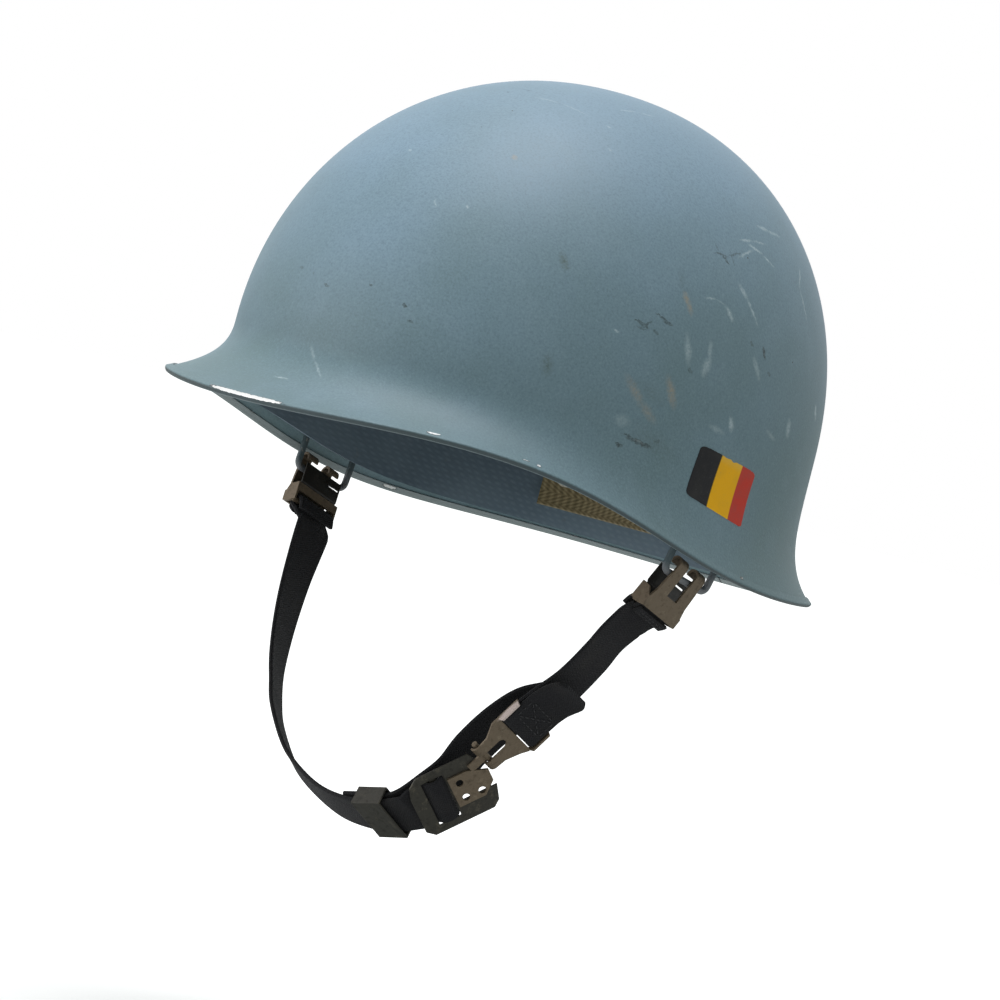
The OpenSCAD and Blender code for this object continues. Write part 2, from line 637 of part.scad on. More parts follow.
// The fold of the webbing round a clip's bar, from the short returned end to the long run
fold_radius = clip_bar_radius + web_play + web_thick / 2;
fold_lean = 41;
function fold_local(a) = clip_bar + fold_radius * [-sin(a), 0, cos(a)];
return_path = [for (p = [[-3, -6], [-2.6, -3.4], [-1.5, -1.3]]) fold_local(fold_lean) + [p[0], 0, p[1]]];
clip_fold = concat(
    [for (p = return_path) from_clip(p)],
    [for (k = [0:6]) from_clip(fold_local(fold_lean - 30 * k))],
    [from_clip(fold_local(fold_lean - 180) - 3.2 * [cos(fold_lean), 0, sin(fold_lean)])]);
function with_width(points) = [for (p = points) [p[0], p[1], p[2], web_width / 2]];
function mirrored(points) = [for (p = points) mirror_x(p)];

// The release hook hangs in a fold of the left webbing, whose free end stands off as a tab.
tab_profile = [[2, 5], [2.1, 10], [2.4, 15], [3.4, 19], [5.4, 22.5], [8, 25.5], [9.6, 27]];
tab_half_widths = [1, 1, 1, 1, 1, 0.93, 0.64];
hook_origin = [77.1, -32.2, -67.6];
hook_along = [-5.5, -6, -13];
hook_across = [0, 0.9, -0.5];
hook_width = web_width + 2 * side_play + 2 * plate_sheet;
slot_top = 2.6;
slot_bottom = -0.1;
hook_fold = web_thick / 2 + web_play + plate_sheet / 2;
hook_side = from_plate([0, 0, 0], hook_along, hook_across, [0, 1, 0]);
function hook_point(v) = from_plate(hook_origin, hook_along, hook_across, v);
function hook_turn(a) = hook_point([plate_sheet / 2 - hook_fold * cos(a), 0,
                                    slot_top - 0.2 - hook_fold * sin(a)]);
module left_webbing() {
    run = smooth_route(left_route, 4);
    points = concat(clip_fold, run,
        [hook_point([plate_sheet / 2 - hook_fold, 0, 6])],
        [for (a = [0, 30, 60, 90, 120, 150, 180]) hook_turn(a)]);
    tail = [for (i = [0:len(tab_profile) - 1]) let (p = tab_profile[i],
        q = hook_point([p[0], 0, p[1]])) [q[0], q[1], q[2], web_width / 2 * tab_half_widths[i]]];
    rows = concat(with_width(points), tail);
    across = concat([for (p = clip_fold) clip_side], [for (row = run) across_at(row)],
        [for (i = [len(clip_fold) + len(run):len(rows) - 1]) hook_side]);
    color("#1e1e22") sweep(band_rings(rows, across, web_thick));
}

// The release hook: a slotted plate with raised sides and two curled fingers
hook_finger_radius = 1.55;
catch_bar_radius = 1.2;
hook_end = -13.7;
finger_wide = 4.2;
finger_middles = [-5.2, 3.9];
finger_curl = 100;
catch_axis = [-hook_finger_radius, (finger_middles[0] + finger_middles[1]) / 2, hook_end];
module release_hook() {
    half = hook_width / 2;
    color("#6b5d51") plate_frame(hook_origin, hook_along, hook_across) union() {
        difference() {
            face_plate(plate_sheet) polygon([[-half, 8], [half, 8], [half, -1], [half - 2, -4],
                [6.4, -9.6], [6, hook_end], [1.8, hook_end], [-3.1, hook_end],
                [-7.3, hook_end], [-7.7, -9], [-9.8, -5.6], [-half, -3.6]]);
            translate([-1, -web_width / 2 - side_play, slot_bottom])
                cube([plate_sheet + 2, web_width + 2 * side_play, slot_top - slot_bottom]);
            translate([-1, -0.65, -6.6]) rotate([0, 90, 0])
                cylinder(h = plate_sheet + 2, r = 2.1);
            translate([-1, -0.65 - 2.1, hook_end - 1]) cube([plate_sheet + 2, 4.2, -5.6 - hook_end]);
        }
        for (y = [-1, 1]) translate([0, y * (half - plate_sheet / 2), 0]) side_strip(plate_sheet)
            polygon([[0, -1], [3.2, 0.5], [3.2, 9], [0, 10]]);
        for (y = finger_middles) translate([catch_axis[0], y, hook_end])
            rotate([90, 0, 0]) mirror([0, 1, 0]) rotate_extrude(angle = finger_curl)
                translate([hook_finger_radius, -finger_wide / 2]) square([plate_sheet, finger_wide]);
    }
}

// The adjuster buckle lies along the jaw and carries the catch for the hook.
buckle_origin = [63.1, -38.5, -94.0];
buckle_along = [-0.51, -0.57, -0.64];
buckle_across = [0.02, 0.75, -0.68];
buckle_top = 13.6;
buckle_side = from_plate([0, 0, 0], buckle_along, buckle_across, [0, 1, 0]);
buckle_bars = [-3.8, -6.8, -9.3, -12.8];
slot_half = web_width / 2 + side_play;
module buckle_outline() {
    half = buckle_width / 2;
    low = buckle_top - buckle_length;
    polygon([[-half, low + 5], [-half + 3, low + 1.4], [-half + 8, low], [half - 3, low],
             [half, low + 3], [half, 9], [half - 2.5, 11.8], [4.2, buckle_top], [4.2, -0.5],
             [-6.2, -0.5], [-6.2, 7.6], [-7.7, 8.6], [-half + 2.4, 9.6], [-half, 8.4]]);
}
module adjuster_buckle() {
    color("#3c3a32") plate_frame(buckle_origin, buckle_along, buckle_across) difference() {
        face_plate(plate_sheet) buckle_outline();
        for (i = [0, 2]) translate([-1, -slot_half, buckle_bars[i + 1]])
            cube([plate_sheet + 2, 2 * slot_half, buckle_bars[i] - buckle_bars[i + 1]]);
    }
}

// The catch lies on the buckle: a plate, a neck and a cross bar that the hook's fingers hold.
catch_half = 7.6;
neck_half = 1.8;
neck_length = 8;
module catch_plate() {
    color("#6b5d51") union() {
        plate_frame(buckle_origin, buckle_along, buckle_across) difference() {
            translate([plate_sheet, 0, 0]) face_plate(plate_sheet)
                polygon([[-7.6, -3], [6, -3], [6, 8], [1.2, 13], [-4.2, 13], [-7.6, 5]]);
            for (p = [[-4, 0.8], [3, 0.8], [3.2, 7.5]]) translate([0, p[0], p[1]])
                rotate([0, 90, 0]) cylinder(h = 4, r = 1.5);
        }
        plate_frame(hook_origin, hook_along, hook_across) translate(catch_axis) union() {
            rotate([90, 0, 0]) cylinder(h = 2 * catch_half, r = catch_bar_radius, center = true);
            translate([-plate_sheet / 2, -neck_half, -neck_length])
                cube([plate_sheet, 2 * neck_half, neck_length]);
        }
    }
}

// The long webbing: over the buckle's bar, through the keeper, round the chin, to the right clip
function buckle_point(v) = from_plate(buckle_origin, buckle_along, buckle_across, v);
over_bar = [[-2.2, -4.4], [-0.4, -4.7], [1.4, -5.5], [2.1, -7.2], [2.1, -9.2], [1.2, -10.6],
            [-0.6, -11.8], [-1.4, -13.4], [-1.6, -15.4]];
module chin_webbing() {
    start = [for (p = over_bar) buckle_point([p[0], 0, p[1]])];
    body = smooth_route([for (row = chin_route) [row[0], row[1], row[2], row[3]]], 3);
    finish = mirrored([for (k = [len(clip_fold) - 1:-1:0]) clip_fold[k]]);
    rows = with_width(concat(start, body, finish));
    across = concat([for (p = start) buckle_side], [for (row = body) across_at(row)],
                    [for (p = finish) mirror_x(clip_side)]);
    color("#1e1e22") sweep(band_rings(rows, across, web_thick));
}

// The inner layer lies behind the buckle and the hook and ends behind the left webbing.
module inner_webbing() {
    body = smooth_route(inner_route, 3);
    color("#232326")
        sweep(band_rings(with_width(body), [for (row = body) across_at(row)], web_thick));
}

// A folded band that keeps the two layers together
keeper_sheet = 0.8;
keeper_origin = [37.2, -50.2, -110.5];
keeper_along = [-30.5, -3.4, -6.8];
keeper_across = [0, 0.9, -0.53];
module strap_keeper() {
    inner_w = web_width + 2 * side_play + 0.4;
    inner_h = 2 * web_thick + 3.2;
    color("#3c3a32") plate_frame(keeper_origin, keeper_along, keeper_across)
        linear_extrude(keeper_length, center = true) difference() {
            square([inner_h + 2 * keeper_sheet, inner_w + 2 * keeper_sheet], center = true);
            square([inner_h, inner_w], center = true);
        }
}

steel_shell();
rim_edging();
side_decal();
bale_bracket_left();
bale_bracket_right();
bale_left();
bale_right();
liner_shell();
crown_webbing();
headband_web();
web_washers();
liner_rivets();
sweatband();
sweatband_clips();
nape_strap();
nape_studs();
hook_clip_left();
clip_tongue_left();
left_webbing();
release_hook();
hook_clip_right();
clip_tongue_right();
chin_webbing();
inner_webbing();
strap_keeper();
adjuster_buckle();
catch_plate();
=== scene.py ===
import bpy
import bmesh
import numpy as np
from mathutils import Matrix


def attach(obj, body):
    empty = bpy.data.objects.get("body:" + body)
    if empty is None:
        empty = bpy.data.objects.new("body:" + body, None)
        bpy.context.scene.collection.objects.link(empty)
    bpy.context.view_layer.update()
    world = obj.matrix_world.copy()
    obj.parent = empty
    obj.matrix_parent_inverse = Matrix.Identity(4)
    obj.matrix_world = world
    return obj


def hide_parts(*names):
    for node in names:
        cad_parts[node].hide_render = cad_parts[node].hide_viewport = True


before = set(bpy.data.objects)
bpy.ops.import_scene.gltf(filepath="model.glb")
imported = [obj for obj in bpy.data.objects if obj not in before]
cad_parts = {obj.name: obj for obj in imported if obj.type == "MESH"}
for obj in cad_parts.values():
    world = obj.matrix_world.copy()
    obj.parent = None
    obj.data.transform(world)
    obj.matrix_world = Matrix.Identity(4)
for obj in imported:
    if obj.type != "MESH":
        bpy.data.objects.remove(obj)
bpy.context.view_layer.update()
MM = 0.001

# ---------------------------------------------------------------- view, light and floor
# The camera stands two metres off the wearer's left front, a little above the rim, and is
# turned about its own line of sight, because the helmet sits tipped back on the head.
VIEW_AZIMUTH, VIEW_HEIGHT, VIEW_TURN = np.radians([45.8, 1.2, 14.35])
VIEW_AIM, VIEW_SHIFT, VIEW_AWAY, LENS = [0, 0, 98.5], [-17.15, -81.9], 2213, 203.15
view_back = np.array([np.sin(VIEW_AZIMUTH) * np.cos(VIEW_HEIGHT),
                      -np.cos(VIEW_AZIMUTH) * np.cos(VIEW_HEIGHT), np.sin(VIEW_HEIGHT)])
level_right = np.array([np.cos(VIEW_AZIMUTH), np.sin(VIEW_AZIMUTH), 0.0])
level_up = np.cross(view_back, level_right)
view_right = np.cos(VIEW_TURN) * level_right + np.sin(VIEW_TURN) * level_up
view_up = np.cos(VIEW_TURN) * level_up - np.sin(VIEW_TURN) * level_right
view_axes = np.stack([view_right, view_up, view_back])


def unit(vectors):
    return vectors / np.maximum(np.linalg.norm(vectors, axis=-1, keepdims=True), 1e-12)


def stand(thing, axes, place):
    """Links an object with its own X, Y and Z axes along three directions."""
    turn = np.eye(4)
    turn[:3, :3], turn[:3, 3] = np.transpose(axes), place
    thing.matrix_world = Matrix(turn.tolist())
    bpy.context.scene.collection.objects.link(thing)


photo_view = bpy.data.objects.new("photo_view", bpy.data.cameras.new("photo_view"))
photo_view.data.sensor_width = 36
photo_view.data.lens = LENS
photo_view.data.clip_end = 60
stand(photo_view, view_axes, (np.array(VIEW_AIM) + [*VIEW_SHIFT, VIEW_AWAY] @ view_axes) * MM)
bpy.context.scene.camera = photo_view
bpy.context.scene.view_settings.view_transform = "Standard"


def soft_lamp(name, place, size, power):
    """A square lamp at a place given along the view's right, up and back, aimed at the dome."""
    dome = np.array([0, 0, 0.09])
    spot = place @ view_axes
    aim = unit(spot)
    side = unit(np.cross(view_up, aim))
    lamp = bpy.data.objects.new(name, bpy.data.lights.new(name, "AREA"))
    lamp.data.shape = "SQUARE"
    lamp.data.size = size
    lamp.data.energy = power
    lamp.data.color = (1.0, 0.98, 1.0)
    stand(lamp, [side, np.cross(aim, side), aim], spot + dome)


soft_lamp("top_lamp", (0.12, 1.85, 0.12), 1.2, 31)
soft_lamp("left_lamp", (-1.65, 0.3, 0.35), 1.1, 13)


def fill(finish, node, inputs):
    """Links or sets a node's sockets, which are given by name, or by number as n0, n1."""
    for key, value in inputs.items():
        numbered = key[0] == "n" and key[1:].isdigit()
        socket = node.inputs[int(key[1:]) if numbered else key.replace("_", " ")]
        if isinstance(value, bpy.types.NodeSocket):
            finish.node_tree.links.new(value, socket)
        else:
            socket.default_value = value


def add(finish, kind, settings=None, **inputs):
    """One shader node with its settings and the values or links of its sockets."""
    made = finish.node_tree.nodes.new("ShaderNode" + kind)
    for key, value in (settings or {}).items():
        setattr(made, key, value)
    fill(finish, made, inputs)
    return made


def colour(red, green, blue):
    """A colour as a screen shows it, from 0 to 255, made linear light with the sRGB curve."""
    share = np.array([red, green, blue]) / 255.0
    light = np.where(share <= 0.04045, share / 12.92, ((share + 0.055) / 1.055) ** 2.4)
    return (*light.tolist(), 1.0)


# The camera, glass and mirrors see a white room. The light that it gives off is weaker and a
# little green.
studio = bpy.data.worlds.new("studio")
bpy.context.scene.world = studio
studio.use_nodes = True
studio.node_tree.nodes.clear()
path = add(studio, "LightPath").outputs
seen = path["Is Camera Ray"]
for ray in ("Is Transmission Ray", "Is Glossy Ray"):
    seen = add(studio, "Math", {"operation": "MAXIMUM"}, n0=seen, n1=path[ray]).outputs[0]
level = add(studio, "MapRange", Value=seen, To_Min=0.31, To_Max=1.0).outputs[0]
tint = add(studio, "Mix", {"data_type": "RGBA"}, n0=seen, n6=(0.88, 1.0, 0.95, 1),
           n7=(1, 1, 1, 1)).outputs[2]
sky = add(studio, "Background", Color=tint, Strength=level)
add(studio, "OutputWorld", Surface=sky.outputs[0])

# The floor near the helmet keeps its shadow. Further off it runs into the white background.
FLOOR_HEIGHT, FLOOR_HALF = -0.22, 14
floor_mesh = bpy.data.meshes.new("floor")
floor_mesh.from_pydata([(x * FLOOR_HALF, y * FLOOR_HALF, FLOOR_HEIGHT)
                        for x, y in ((-1, -1), (1, -1), (1, 1), (-1, 1))], [], [(0, 1, 2, 3)])
floor = bpy.data.objects.new("floor", floor_mesh)
bpy.context.scene.collection.objects.link(floor)
white = bpy.data.materials.new("floor_white")
white.use_nodes = True
white.node_tree.nodes.clear()
path = add(white, "LightPath").outputs
away = add(white, "VectorMath", {"operation": "LENGTH"},
           n0=add(white, "TexCoord").outputs["Object"]).outputs["Value"]
lift = add(white, "MapRange", Value=away, From_Min=0.42, From_Max=0.75, To_Min=0.35,
           To_Max=1.0).outputs[0]
lift = add(white, "Math", {"operation": "MULTIPLY"}, n0=path["Is Camera Ray"], n1=lift)
matt = add(white, "BsdfDiffuse", Color=colour(236, 236, 236))
glow = add(white, "Emission", Color=(1, 1, 1, 1), Strength=lift.outputs[0])
both = add(white, "AddShader", n0=matt.outputs[0], n1=glow.outputs[0])
add(white, "OutputMaterial", Surface=both.outputs[0])
floor_mesh.materials.append(white)

# ---------------------------------------------------------------- steel shell
# One sheet of manganese steel, pressed deep and flared to a wavy rim, with a matt paint
# that has fine grit in it. Its tone is paler towards the crown and in large clouds, and it is
# chipped and scuffed from use.
HALF_WIDTH, FRONT, REAR, CROWN, BELT, STEEL = 108.3, 120.6, 121.8, 181.3, 58.5, 1.1
SIDE_FLARE, FRONT_FLARE, REAR_FLARE = 9.1, 28.2, 14.8
SIDE_POWER, FRONT_POWER, REAR_POWER = 3.24, 2.15, 5.8      # how late the skirt flares
PLAN_POWER, DOME_POWER, FRONT_SPREAD, REAR_SPREAD = 2.094, 2.1, 2.44, 2
MIDDLE, CROWN_BACK = 4, 6.44               # the belt's middle, and the crown's place behind it
RIM_WAVES = (17.0, 16.71, 2.47, -3.17, -2.08)


def cosd(angle):
    return np.cos(np.radians(angle))


def sind(angle):
    return np.sin(np.radians(angle))


def plan(turn):
    """Belt radius in the direction turn: a superellipse of the half width and the reaches."""
    reach = np.where(cosd(turn) > 0, FRONT, REAR)
    return ((abs(sind(turn)) / HALF_WIDTH) ** PLAN_POWER
            + (abs(cosd(turn)) / reach) ** PLAN_POWER) ** (-1 / PLAN_POWER)


def mix3(turn, side, front, rear):
    """A value that runs from side to front and to rear as the direction turns."""
    return (side + (front - side) * np.maximum(cosd(turn), 0) ** FRONT_SPREAD
            + (rear - side) * np.maximum(-cosd(turn), 0) ** REAR_SPREAD)


def rim_height(turn):
    """Height of the rim: a mean and four waves round the head, high in front."""
    return sum(wave * cosd(k * turn) for k, wave in enumerate(RIM_WAVES))


def skin(turn, level, side=SIDE_FLARE):
    """Outer skin: level 0 crown, 1 belt, 2 rim. A superellipsoid dome, then a skirt that
    stands out by a power of its depth."""
    turn, level = np.broadcast_arrays(np.asarray(turn, float), np.asarray(level, float))
    quarter = np.pi / 2 * np.clip(level, 0, 1)
    rise = np.maximum(np.cos(quarter), 0) ** (2 / DOME_POWER)
    depth = np.maximum(level - 1, 0)
    flare = mix3(turn, side, FRONT_FLARE, REAR_FLARE) \
        * depth ** mix3(turn, SIDE_POWER, FRONT_POWER, REAR_POWER)
    out = plan(turn) * np.sin(quarter) ** (2 / DOME_POWER) + np.where(level > 1, flare, 0)
    height = np.where(level <= 1, BELT + (CROWN - BELT) * rise,
                      BELT + (rim_height(turn) - BELT) * depth)
    return np.stack([out * sind(turn), MIDDLE - out * cosd(turn)
                     + np.where(level <= 1, CROWN_BACK * rise ** 1.5, 0), height], -1)


def outward(turn, level, side=SIDE_FLARE):
    """Normal of the skin, the cross product of its two small steps."""
    turn, level = np.broadcast_arrays(np.asarray(turn, float), np.asarray(level, float))
    return unit(np.cross(skin(turn + 0.5, level, side) - skin(turn - 0.5, level, side),
                         skin(turn, np.maximum(level - 0.01, 0.01), side)
                         - skin(turn, level + 0.01, side)))


def inset(turn, level, side, depth):
    """A point at a depth under the skin, or over it where the depth is negative."""
    return skin(turn, level, side) - np.asarray(depth)[..., None] * outward(turn, level, side)


def rim_run(turn):
    """The skirt's way down at the rim, and its length in millimetres for one level."""
    step = skin(turn, 2) - skin(turn, 1.98)
    return unit(step), np.linalg.norm(step, axis=-1) / 0.02


def bare_mesh(name, points, faces, uv=None):
    """A mesh from an array of points in millimetres, faces of one size, and corner UVs."""
    mesh = bpy.data.meshes.new(name)
    count, size = faces.shape
    mesh.vertices.add(len(points))
    mesh.vertices.foreach_set("co", (points * MM).astype(np.float32).ravel())
    mesh.loops.add(count * size)
    mesh.loops.foreach_set("vertex_index", faces.astype(np.int32).ravel())
    mesh.polygons.add(count)
    mesh.polygons.foreach_set("loop_start", np.arange(0, count * size, size, dtype=np.int32))
    mesh.update(calc_edges=True)
    if uv is not None:
        layer = mesh.uv_layers.new(name="UVMap")
        layer.data.foreach_set("uv", uv.astype(np.float32).ravel())
    return mesh


def smooth(mesh, sharp):
    """Smooth shading, with sharp edges where faces meet at more than an angle."""
    mesh.shade_smooth()
    if sharp:
        mesh.set_sharp_from_angle(angle=np.radians(sharp))
    return mesh


def grid_mesh(name, grid, uv=None, loop=False, flip=False, sharp=50):
    """Quads over rows and columns of points. Each row closes, and the rows close into a loop
    or not. Points that fall together, as at a pole, are merged. uv has one more column, and
    one more row in a loop."""
    rows, columns = grid.shape[:2]
    i, j = np.meshgrid(np.arange(rows - 1 + loop), np.arange(columns), indexing="ij")
    i, j = i.ravel(), j.ravel()
    corners = [(i, j), (i, j + 1), (i + 1, j + 1), (i + 1, j)]
    if flip:
        corners.reverse()
    faces = np.stack([(a % rows) * columns + b % columns for a, b in corners], 1)
    corner_uv = None if uv is None else np.stack([uv[a, b] for a, b in corners], 1)
    mesh = bare_mesh(name, grid.reshape(-1, 3), faces, corner_uv)
    work = bmesh.new()
    work.from_mesh(mesh)
    bmesh.ops.remove_doubles(work, verts=work.verts, dist=1e-6)
    work.to_mesh(mesh)
    work.free()
    return smooth(mesh, sharp)


def piece(mesh, finish, body, nodes):
    """A finished piece: its object at the origin, its finish, its body and what it replaces."""
    made = bpy.data.objects.new(mesh.name, mesh)
    bpy.context.scene.collection.objects.link(made)
    mesh.materials.clear()
    mesh.materials.append(finish.material)
    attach(made, body)
    if nodes:
        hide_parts(*nodes)
    return made


class Finish:
    """A material with one Principled shader. Its methods add shader nodes that read the
    coordinates of the object, and its tone is the colour so far."""

    def __init__(self, name):
        self.material = bpy.data.materials.new(name)
        self.material.use_nodes = True
        self.shader = self.material.node_tree.nodes["Principled BSDF"]
        self.place = self.add("TexCoord").outputs["Object"]

    def add(self, kind, settings=None, **inputs):
        return add(self.material, kind, settings, **inputs)

    def noise(self, size, detail=2.0, rough=0.5, warp=0.0):
        """Cloudy noise whose blobs are about size millimetres wide."""
        return self.add("TexNoise", Vector=self.place, Scale=1000.0 / size, Detail=detail,
                        Roughness=rough, Distortion=warp).outputs["Fac"]

    def ramp(self, value, low, high, to_low=0.0, to_high=1.0):
        """Stretches the values between low and high, and holds them outside."""
        return self.add("MapRange", Value=value, From_Min=low, From_Max=high,
                        To_Min=to_low, To_Max=to_high).outputs[0]

    def clouds(self, size, detail, rough, low, high, to_low=0.0, to_high=1.0):
        """Cloudy noise, stretched."""
        return self.ramp(self.noise(size, detail, rough), low, high, to_low, to_high)

    def maths(self, kind, a, b=0.0):
        return self.add("Math", {"operation": kind}, n0=a, n1=b).outputs[0]

    def split(self, vector):
        return self.add("SeparateXYZ", Vector=vector).outputs

    def flat(self):
        """The parts of the piece's own UV, U and V first."""
        return self.split(self.add("UVMap", {"uv_map": "UVMap"}).outputs[0])

    def blend(self, share, a, b):
        """A share of b over a. Each is a socket or a colour as a screen shows it."""
        a, b = (colour(*each) if isinstance(each, tuple) else each for each in (a, b))
        return self.add("Mix", {"data_type": "RGBA"}, n0=share, n6=a, n7=b).outputs[2]

    def lay(self, share, paint):
        """Lays a share of a colour over the tone."""
        self.tone = self.blend(share, self.tone, paint)

    def coat(self, **inputs):
        """Puts the tone and the other values into the shader."""
        fill(self.material, self.shader, {"Base_Color": self.tone, **inputs})

    def bump(self, height, distance, strength=1.0):
        """Bump whose full height is distance millimetres."""
        return self.add("Bump", Height=height, Distance=distance * MM,
                        Strength=strength).outputs[0]

    def near_place(self, place, centre, axes, half, soft, share):
        """The share that is full inside an ellipsoid and falls to nothing at its surface. Its
        axes are the columns of a matrix, and half holds its half sizes in millimetres."""
        local = self.add("Mapping", {"vector_type": "TEXTURE"}, Vector=place,
                         Location=tuple(np.asarray(centre) * MM),
                         Rotation=tuple(Matrix(axes.tolist()).to_euler("XYZ")),
                         Scale=tuple(np.asarray(half) * MM))
        core = self.add("TexGradient", {"gradient_type": "SPHERICAL"}, Vector=local.outputs[0])
        return self.ramp(core.outputs["Fac"], 0, soft, 0, share)


# Worn marks on the shell: azimuth and level of both ends, width in millimetres and share
BARE_MARKS = [
    (63.2, 0.819, 65.6, 0.822, 1.2, 0.8), (64.2, 0.823, 66.6, 0.829, 1.5, 0.75),
    (65.3, 0.828, 67.2, 0.815, 1.3, 0.8), (64.0, 0.832, 66.2, 0.834, 1.0, 0.6),
    (67.6, 0.795, 70.6, 0.807, 1.0, 0.85), (69.9, 0.808, 71.8, 0.811, 1.8, 0.85),
    (68.0, 0.831, 69.0, 0.835, 1.6, 0.7), (82.4, 0.605, 83.7, 0.626, 1.0, 0.5),
    (82.0, 0.631, 86.8, 0.632, 0.9, 0.75), (86.4, 0.632, 92.3, 0.612, 1.0, 0.6),
    (84.4, 0.629, 87.0, 0.651, 1.2, 0.8), (86.0, 0.628, 86.2, 0.64, 0.9, 0.6),
    (87.6, 0.613, 89.0, 0.657, 0.7, 0.5), (98.7, 0.808, 99.6, 0.828, 2.0, 0.85),
    (94.4, 0.803, 95.2, 0.808, 1.6, 0.6), (101.2, 0.853, 101.9, 0.857, 1.7, 0.6),
    (78.0, 0.886, 78.6, 0.892, 1.7, 0.65), (65.8, 1.31, 66.6, 1.318, 2.2, 0.85),
    (66.4, 1.175, 69.5, 1.205, 1.2, 0.8), (67.4, 1.205, 73.6, 1.232, 2.2, 0.8),
    (74.0, 1.147, 74.8, 1.15, 1.8, 0.45), (1.2, 0.902, 2.4, 0.903, 1.4, 0.7),
    (-7.3, 0.88, -6.7, 0.882, 1.4, 0.6), (-3.2, 0.885, -2.8, 0.886, 1.2, 0.5),
    (19.4, 0.903, 20.1, 0.906, 1.5, 0.8), (21.4, 0.929, 22.3, 0.932, 1.4, 0.7),
    (11.4, 0.88, 11.9, 0.881, 1.2, 0.6), (2.9, 0.26, 8.4, 0.262, 1.2, 0.35),
    (0.8, 0.294, 2.0, 0.296, 1.3, 0.5), (188, 1.42, 190.5, 1.44, 1.8, 0.7),
    (214, 0.86, 216, 0.87, 1.5, 0.7), (232, 1.2, 236, 1.215, 1.3, 0.6),
    (263, 0.74, 264, 0.76, 1.5, 0.6), (305, 1.1, 308, 1.09, 1.3, 0.6)]
RUBBED_MARKS = [
    (101.6, 0.532, 107.0, 0.537, 2.2, 0.5), (106.5, 0.537, 113.0, 0.542, 1.6, 0.55),
    (91.7, 0.584, 97.5, 0.576, 1.4, 0.55), (97.0, 0.576, 103.8, 0.575, 1.1, 0.4),
    (95.1, 0.587, 100.6, 0.602, 1.6, 0.6), (100.2, 0.602, 105.3, 0.628, 1.1, 0.55),
    (90.3, 0.629, 96.7, 0.598, 1.5, 0.5), (90.1, 0.69, 92.6, 0.713, 2.8, 0.5),
    (92.4, 0.711, 96.5, 0.768, 1.6, 0.55), (120.0, 0.608, 116.5, 0.654, 1.6, 0.6),
    (116.4, 0.652, 118.3, 0.73, 1.4, 0.5), (86.2, 0.747, 88.1, 0.768, 2.8, 0.6),
    (79.6, 0.738, 82.7, 0.734, 1.4, 0.45), (82.5, 0.733, 86.0, 0.744, 0.9, 0.3),
    (76.1, 0.825, 77.5, 0.875, 4.0, 0.4), (82.4, 0.822, 82.7, 0.862, 3.0, 0.35),
    (82.7, 0.86, 81.9, 0.886, 5.0, 0.45), (95.8, 0.832, 98.4, 0.87, 3.2, 0.4),
    (125.4, 0.893, 126.6, 0.915, 3.6, 0.6), (92.0, 0.958, 92.8, 0.974, 3.6, 0.6),
    (112.2, 0.936, 112.6, 0.958, 4.4, 0.5), (86.6, 0.978, 91.0, 0.985, 3.0, 0.25),
    (65.0, 1.04, 66.4, 1.045, 6.0, 0.25), (15.9, 0.676, 17.1, 0.692, 1.2, 0.45),
    (23.2, 0.673, 23.6, 0.676, 1.4, 0.5), (2.8, 1.13, 5.1, 1.29, 1.8, 0.35),
    (5.0, 1.28, 9.4, 1.52, 1.4, 0.35), (0.5, 1.64, 4.1, 1.63, 1.4, 0.5),
    (14.3, 0.292, 26.0, 0.291, 1.2, 0.3), (26.0, 0.291, 40.3, 0.322, 1.0, 0.25),
    (50.7, 0.247, 61.0, 0.229, 1.4, 0.35), (61.0, 0.229, 72.1, 0.228, 1.2, 0.3),
    (47.4, 0.344, 48.4, 0.347, 1.6, 0.5), (49.4, 0.428, 50.2, 0.431, 1.4, 0.45),
    (59.4, 0.849, 60.4, 0.852, 1.2, 0.6), (68.9, 1.203, 71.6, 1.218, 1.0, 0.7),
    (104.0, 0.96, 108.0, 0.975, 2.4, 0.25), (0.0, 0.57, 0.9, 0.573, 1.6, 0.4),
    (160, 1.3, 166, 1.38, 1.8, 0.5), (196, 0.7, 203, 0.72, 1.4, 0.5),
    (208, 1.02, 210, 1.1, 2.4, 0.45), (240, 0.88, 246, 0.9, 1.6, 0.5),
    (252, 1.05, 253, 1.1, 3.0, 0.4), (282, 0.62, 288, 0.66, 1.2, 0.5),
    (322, 0.95, 326, 0.99, 1.6, 0.45), (176, 0.42, 184, 0.44, 1.3, 0.45)]
STAINS = [
    (74.1, 0.742, 75.0, 0.757, 3.6, 0.7), (75.2, 0.755, 76.2, 0.776, 3.6, 0.6),
    (73.6, 0.915, 76.2, 0.96, 5.0, 0.55), (64.5, 0.93, 69.2, 0.975, 5.0, 0.4),
    (68.4, 0.968, 72.6, 0.995, 4.6, 0.35), (26.8, 0.523, 27.3, 0.527, 3.0, 0.5)]
SMUDGES = [
    (45.4, 0.728, 46.9, 0.752, 4.6, 0.75), (48.2, 0.935, 48.7, 0.957, 6.0, 0.6),
    (72.6, 0.694, 73.2, 0.73, 4.0, 0.25), (67.4, 0.935, 73.0, 0.958, 8.0, 0.25),
    (68.0, 1.10, 78.0, 1.22, 12.0, 0.25)]

MARK_DEPTH, MARK_RAGGED = 3.0, 0.0022      # half depth in mm, and metres that an edge wanders


